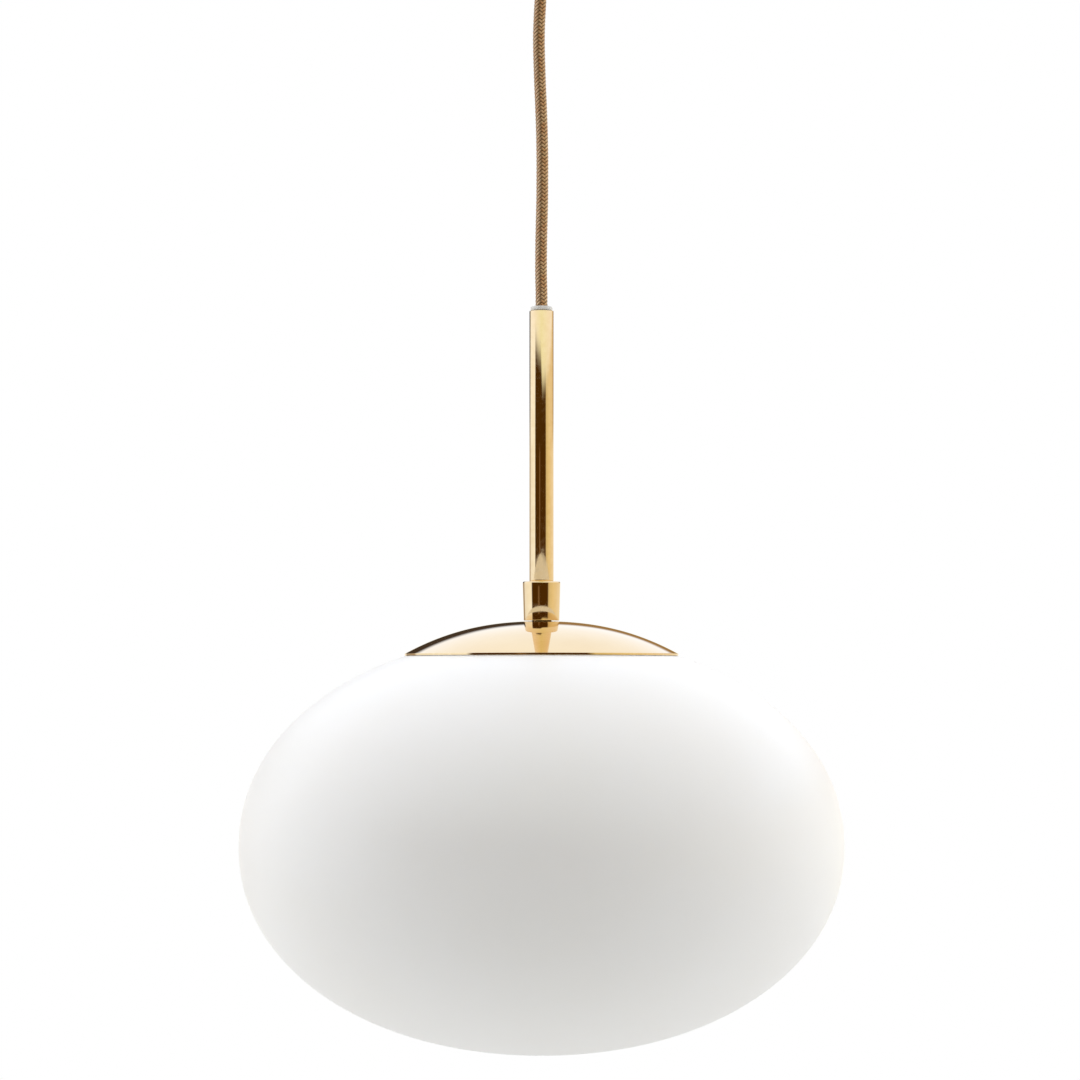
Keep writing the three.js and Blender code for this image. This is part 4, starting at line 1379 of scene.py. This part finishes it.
class PENDANT_OT_wires(bpy.types.Operator):
    """Make the insulated wires in the ceiling cup and in the lampholder"""

    bl_idname = "pendant.wires"
    bl_label = "Wires"

    insulation = {
        "live_wire": "brown_insulation",
        "neutral_wire": "blue_insulation",
        "earth_wire": "earth_insulation",
        "holder_live_wire": "brown_insulation",
        "holder_neutral_wire": "blue_insulation",
    }

    def execute(self, context):
        for node, covering in self.insulation.items():
            bm = bmesh.new()
            bm.from_mesh(frame["nodes"][node].data)
            bmesh.ops.remove_doubles(bm, verts=bm.verts, dist=1e-5)
            bmesh.ops.join_triangles(
                bm, faces=bm.faces, angle_face_threshold=0.7, angle_shape_threshold=3.1
            )
            piece = finished(bm, node + "_covering", node, finish(covering), smooth=60)
            smoother = piece.modifiers.new("smoother", "SUBSURF")
            smoother.levels = smoother.render_levels = 2
        return {"FINISHED"}


# ---- Lampholder ----


class PENDANT_OT_lampholder(bpy.types.Operator):
    """Make the lampholder: cap, shell, porcelain insert, terminals, screw shell and contact"""

    bl_idname = "pendant.lampholder"
    bl_label = "Lampholder"

    def execute(self, context):
        self.make_cap()
        self.make_shell()
        self.make_insert()
        brass = finish("turned_brass")
        for side in ("live", "neutral"):
            finished(softened(f"{side}_terminal", 0.35 * MM), f"{side}_clamp", f"{side}_terminal", brass)
        self.make_screw_shell(brass)
        contact = softened("holder_centre_contact", 0.12 * MM)
        finished(contact, "spring_contact", "holder_centre_contact", brass)
        slotted_screw(
            "grub_screw", "holder_grub_screw", 1 * MM, 0.8 * MM, 0.9 * MM, (1, 0, 0),
            finish("zinc_steel"),
        )
        return {"FINISHED"}

    def make_cap(self):
        low, high = heights_of("holder_cap")
        outer = radius_of("holder_cap")
        bore, collar = NIPPLE_HOLE, 8 * MM
        inner = outer - 2 * MM
        outline = [
            (bore, high - 7.5 * MM),
            (collar - 1 * MM, high - 7.5 * MM),
            (inner - 3 * MM, low + 3 * MM),
            (inner, low),
            (outer, low),
            (outer, low + 3 * MM),
            (outer - 0.9 * MM, low + 5.1 * MM),
            (outer - 3 * MM, low + 5.5 * MM),
            (collar + 1 * MM, high - 3.5 * MM),
            (collar, high - 3 * MM),
            (collar, high),
            (bore, high),
        ]
        bm = turned(outline, 96, sizes().moulded_edge, 3)
        finished(bm, "holder_dome", "holder_cap", finish("black_plastic"))

    def make_shell(self):
        low, high = heights_of("holder_shell")
        outer = radius_of("holder_shell")
        inner = outer - 2 * MM
        grip_low, grip_high = low + 9 * MM, high - 6 * MM
        outline = [
            (inner - 1 * MM, low),
            (outer, low),
            (outer, low + 2.5 * MM),
            (outer - 0.5 * MM, low + 3 * MM),
            (outer - 0.5 * MM, grip_low - 1 * MM),
            *between((outer, grip_low), (outer, grip_high), 12),
            (outer - 0.3 * MM, grip_high + 1 * MM),
            (outer - 0.3 * MM, high - 2 * MM),
            (outer, high - 1.6 * MM),
            (outer, high),
            (inner, high),
            (inner, low + 2 * MM),
            (inner - 1 * MM, low + 2 * MM),
        ]
        bm = turned(outline, 240, 0.2 * MM)
        flute(bm, 40, 0.6 * MM, outer - 0.1 * MM, grip_low, grip_high)
        finished(bm, "holder_skirt", "holder_shell", finish("black_plastic"))

    def make_insert(self):
        low, high = heights_of("holder_insert")
        outer, well = radius_of("holder_insert"), 2.6 * MM
        outline = [
            (0, high - 2 * MM),
            (well, high - 2 * MM),
            (well, low),
            (outer, low),
            (outer, high),
            (0, high),
        ]
        bm = turned(outline, 96, sizes().moulded_edge, 3)
        finished(bm, "porcelain_insert", "holder_insert", finish("porcelain"))

    def make_screw_shell(self, brass):
        low, high = heights_of("holder_screw_shell")
        outer = radius_of("holder_screw_shell")
        inner = outer - 0.5 * MM
        lip = high - 0.5 * MM
        rows = 44
        outline = [
            *between((inner, lip), (inner, low), rows),
            *between((outer, low), (outer, high), rows),
            (9 * MM, high),
            (9 * MM, lip),
        ]
        bm = turned(outline, 72)
        pitch = sizes().lamp_pitch
        thread(bm, pitch, 0.8 * MM, inner - 0.01 * MM, outer + 0.01 * MM, low + 1 * MM, high - 2 * MM)
        finished(bm, "threaded_shell", "holder_screw_shell", brass)


# ---- Lamp ----


class PENDANT_OT_lamp(bpy.types.Operator):
    """Make the lamp: contact, insulator, screw base, housing, light board and envelope"""

    bl_idname = "pendant.lamp"
    bl_label = "Lamp"

    def execute(self, context):
        self.make_tip()
        self.make_base()
        self.make_housing()
        self.make_board()
        self.make_envelope()
        return {"FINISHED"}

    def make_tip(self):
        low, high = heights_of("bulb_tip_contact")
        radius = radius_of("bulb_tip_contact")
        dome = [
            (radius * math.sin(angle), low + 0.6 * MM + (high - low - 0.6 * MM) * math.cos(angle))
            for angle in [math.radians(90 - 10 * i) for i in range(9)]
        ]
        bm = turned([(0, low), (radius, low), *dome, (0, high)], 64, 0.1 * MM)
        finished(bm, "solder_tip", "bulb_tip_contact", finish("nickel"))

        low, high = heights_of("bulb_tip_insulator")
        outer = radius_of("bulb_tip_insulator")
        outline = [
            (0, low),
            (outer, low),
            (outer, low + 0.8 * MM),
            (radius + 2.6 * MM, low + 2.2 * MM),
            (radius + 0.6 * MM, high),
            (0, high),
        ]
        bm = turned(outline, 72, 0.3 * MM, 3)
        finished(bm, "tip_insulator", "bulb_tip_insulator", finish("black_plastic"))

    def make_base(self):
        low, high = heights_of("bulb_screw_base")
        outer = radius_of("bulb_screw_base")
        root = outer - 0.85 * MM
        rows = 44
        skirt = low + 2.2 * MM
        outline = [
            (0, low),
            (outer, low),
            (outer, skirt - 0.4 * MM),
            *between((root, skirt), (root, high - 1.6 * MM), rows),
            *arc(root - 1.4 * MM, high - 1.4 * MM, 1.4 * MM, 10, 90, 5),
            (0, high),
        ]
        bm = turned(outline, 96, 0.12 * MM)
        thread(
            bm, sizes().lamp_pitch, 0.8 * MM, root - 0.01 * MM, root + 0.01 * MM,
            skirt, high - 1.6 * MM,
        )
        finished(bm, "threaded_base", "bulb_screw_base", finish("nickel"))

    def make_housing(self):
        low, high = heights_of("bulb_housing")
        mouth = radius_of("bulb_housing")
        neck = radius_of("bulb_screw_base") + 0.2 * MM
        tall = high - low
        knots = [
            (mouth, 0, low + 2.5 * MM),
            (mouth - 3 * MM, 0, low + tall * 0.3),
            (mouth - 9 * MM, 0, low + tall * 0.62),
            (neck + 0.5 * MM, 0, high - 3 * MM),
            (neck, 0, high),
        ]
        side = [(point.x, point.z) for point in smooth_line(knots, 1.2 * MM)]
        bm = turned([(0, low), (mouth, low), *side, (0, high)], 128, 0.3 * MM)
        finished(bm, "lamp_housing", "bulb_housing", finish("white_plastic"))

    def make_board(self):
        low, high = heights_of("bulb_led_board")
        board = turned(disc_outline(radius_of("bulb_led_board"), low, high), 72, 0.1 * MM)
        finished(board, "light_board", "bulb_led_board", finish("board"))
        bm = bmesh.new()
        count = 12
        for i in range(count):
            made = bmesh.ops.create_cube(bm, size=1)
            place = Matrix.Rotation(math.tau * i / count, 4, "Z") @ Matrix.Translation(
                (16 * MM, 0, low - 0.35 * MM)
            )
            size = Matrix.Diagonal((2.8 * MM, 3.5 * MM, 0.7 * MM, 1))
            bmesh.ops.transform(bm, verts=made["verts"], matrix=place @ size)
        round_edges(bm, 0.15 * MM)
        for face in bm.faces:
            face.material_index = int(face.normal.z < -0.9 and face.calc_area() > 4e-6)
        finished(bm, "light_chips", "bulb_led_board", [finish("board"), finish("phosphor")], replaces=[])

    def make_envelope(self):
        low, mouth = heights_of("bulb_envelope")
        widest_radius = radius_of("bulb_envelope")
        mouth_radius = radius_of("bulb_housing")
        wall = 1.2 * MM
        widest = mouth - math.sqrt(widest_radius**2 - mouth_radius**2)
        opening = math.acos(mouth_radius / widest_radius)
        outer, inner = [], []
        steps = 48
        for i in range(steps + 1):
            angle = -math.pi / 2 + (math.pi / 2 + opening) * i / steps
            across = math.cos(angle) if i else 0.0
            drop = widest - low if angle < 0 else widest_radius
            outer.append((widest_radius * across, widest + drop * math.sin(angle)))
            drop = drop - wall if angle < 0 else drop
            inner.append(((widest_radius - wall) * across, widest + drop * math.sin(angle)))
        bm = turned(outer + inner[::-1], 128, 0.2 * MM)
        finished(bm, "lamp_envelope", "bulb_envelope", finish("diffuser"))


# ---- Panel and registration ----

OPERATORS = (
    PENDANT_OT_stage,
    PENDANT_OT_cord,
    PENDANT_OT_stem,
    PENDANT_OT_dome_cap,
    PENDANT_OT_globe,
    PENDANT_OT_carrier,
    PENDANT_OT_cup,
    PENDANT_OT_gland,
    PENDANT_OT_ceiling_plate,
    PENDANT_OT_wires,
    PENDANT_OT_lampholder,
    PENDANT_OT_lamp,
)


class PENDANT_PT_light(bpy.types.Panel):
    """Sizes, colours and pieces of the pendant light"""

    bl_idname = "PENDANT_PT_light"
    bl_label = "Pendant Ceiling Light"
    bl_space_type = "VIEW_3D"
    bl_region_type = "UI"
    bl_category = "Pendant"

    def draw(self, context):
        for group in (context.scene.pendant_sizes, context.scene.pendant_colours):
            box = self.layout.box()
            for name in group.__annotations__:
                box.prop(group, name)
        for operator in OPERATORS:
            self.layout.operator(operator.bl_idname)


CLASSES = (PendantSizes, PendantColours, *OPERATORS, PENDANT_PT_light)


def register():
    for made in CLASSES:
        bpy.utils.register_class(made)
    bpy.types.Scene.pendant_sizes = bpy.props.PointerProperty(type=PendantSizes)
    bpy.types.Scene.pendant_colours = bpy.props.PointerProperty(type=PendantColours)


def unregister():
    del bpy.types.Scene.pendant_sizes
    del bpy.types.Scene.pendant_colours
    for made in reversed(CLASSES):
        bpy.utils.unregister_class(made)


def main():
    register()
    bpy.ops.pendant.stage()
    bpy.ops.pendant.cord()
    bpy.ops.pendant.stem()
    bpy.ops.pendant.dome_cap()
    bpy.ops.pendant.globe()
    bpy.ops.pendant.carrier()
    bpy.ops.pendant.cup()
    bpy.ops.pendant.gland()
    bpy.ops.pendant.ceiling_plate()
    bpy.ops.pendant.wires()
    bpy.ops.pendant.lampholder()
    bpy.ops.pendant.lamp()


if __name__ == "__main__":
    main()
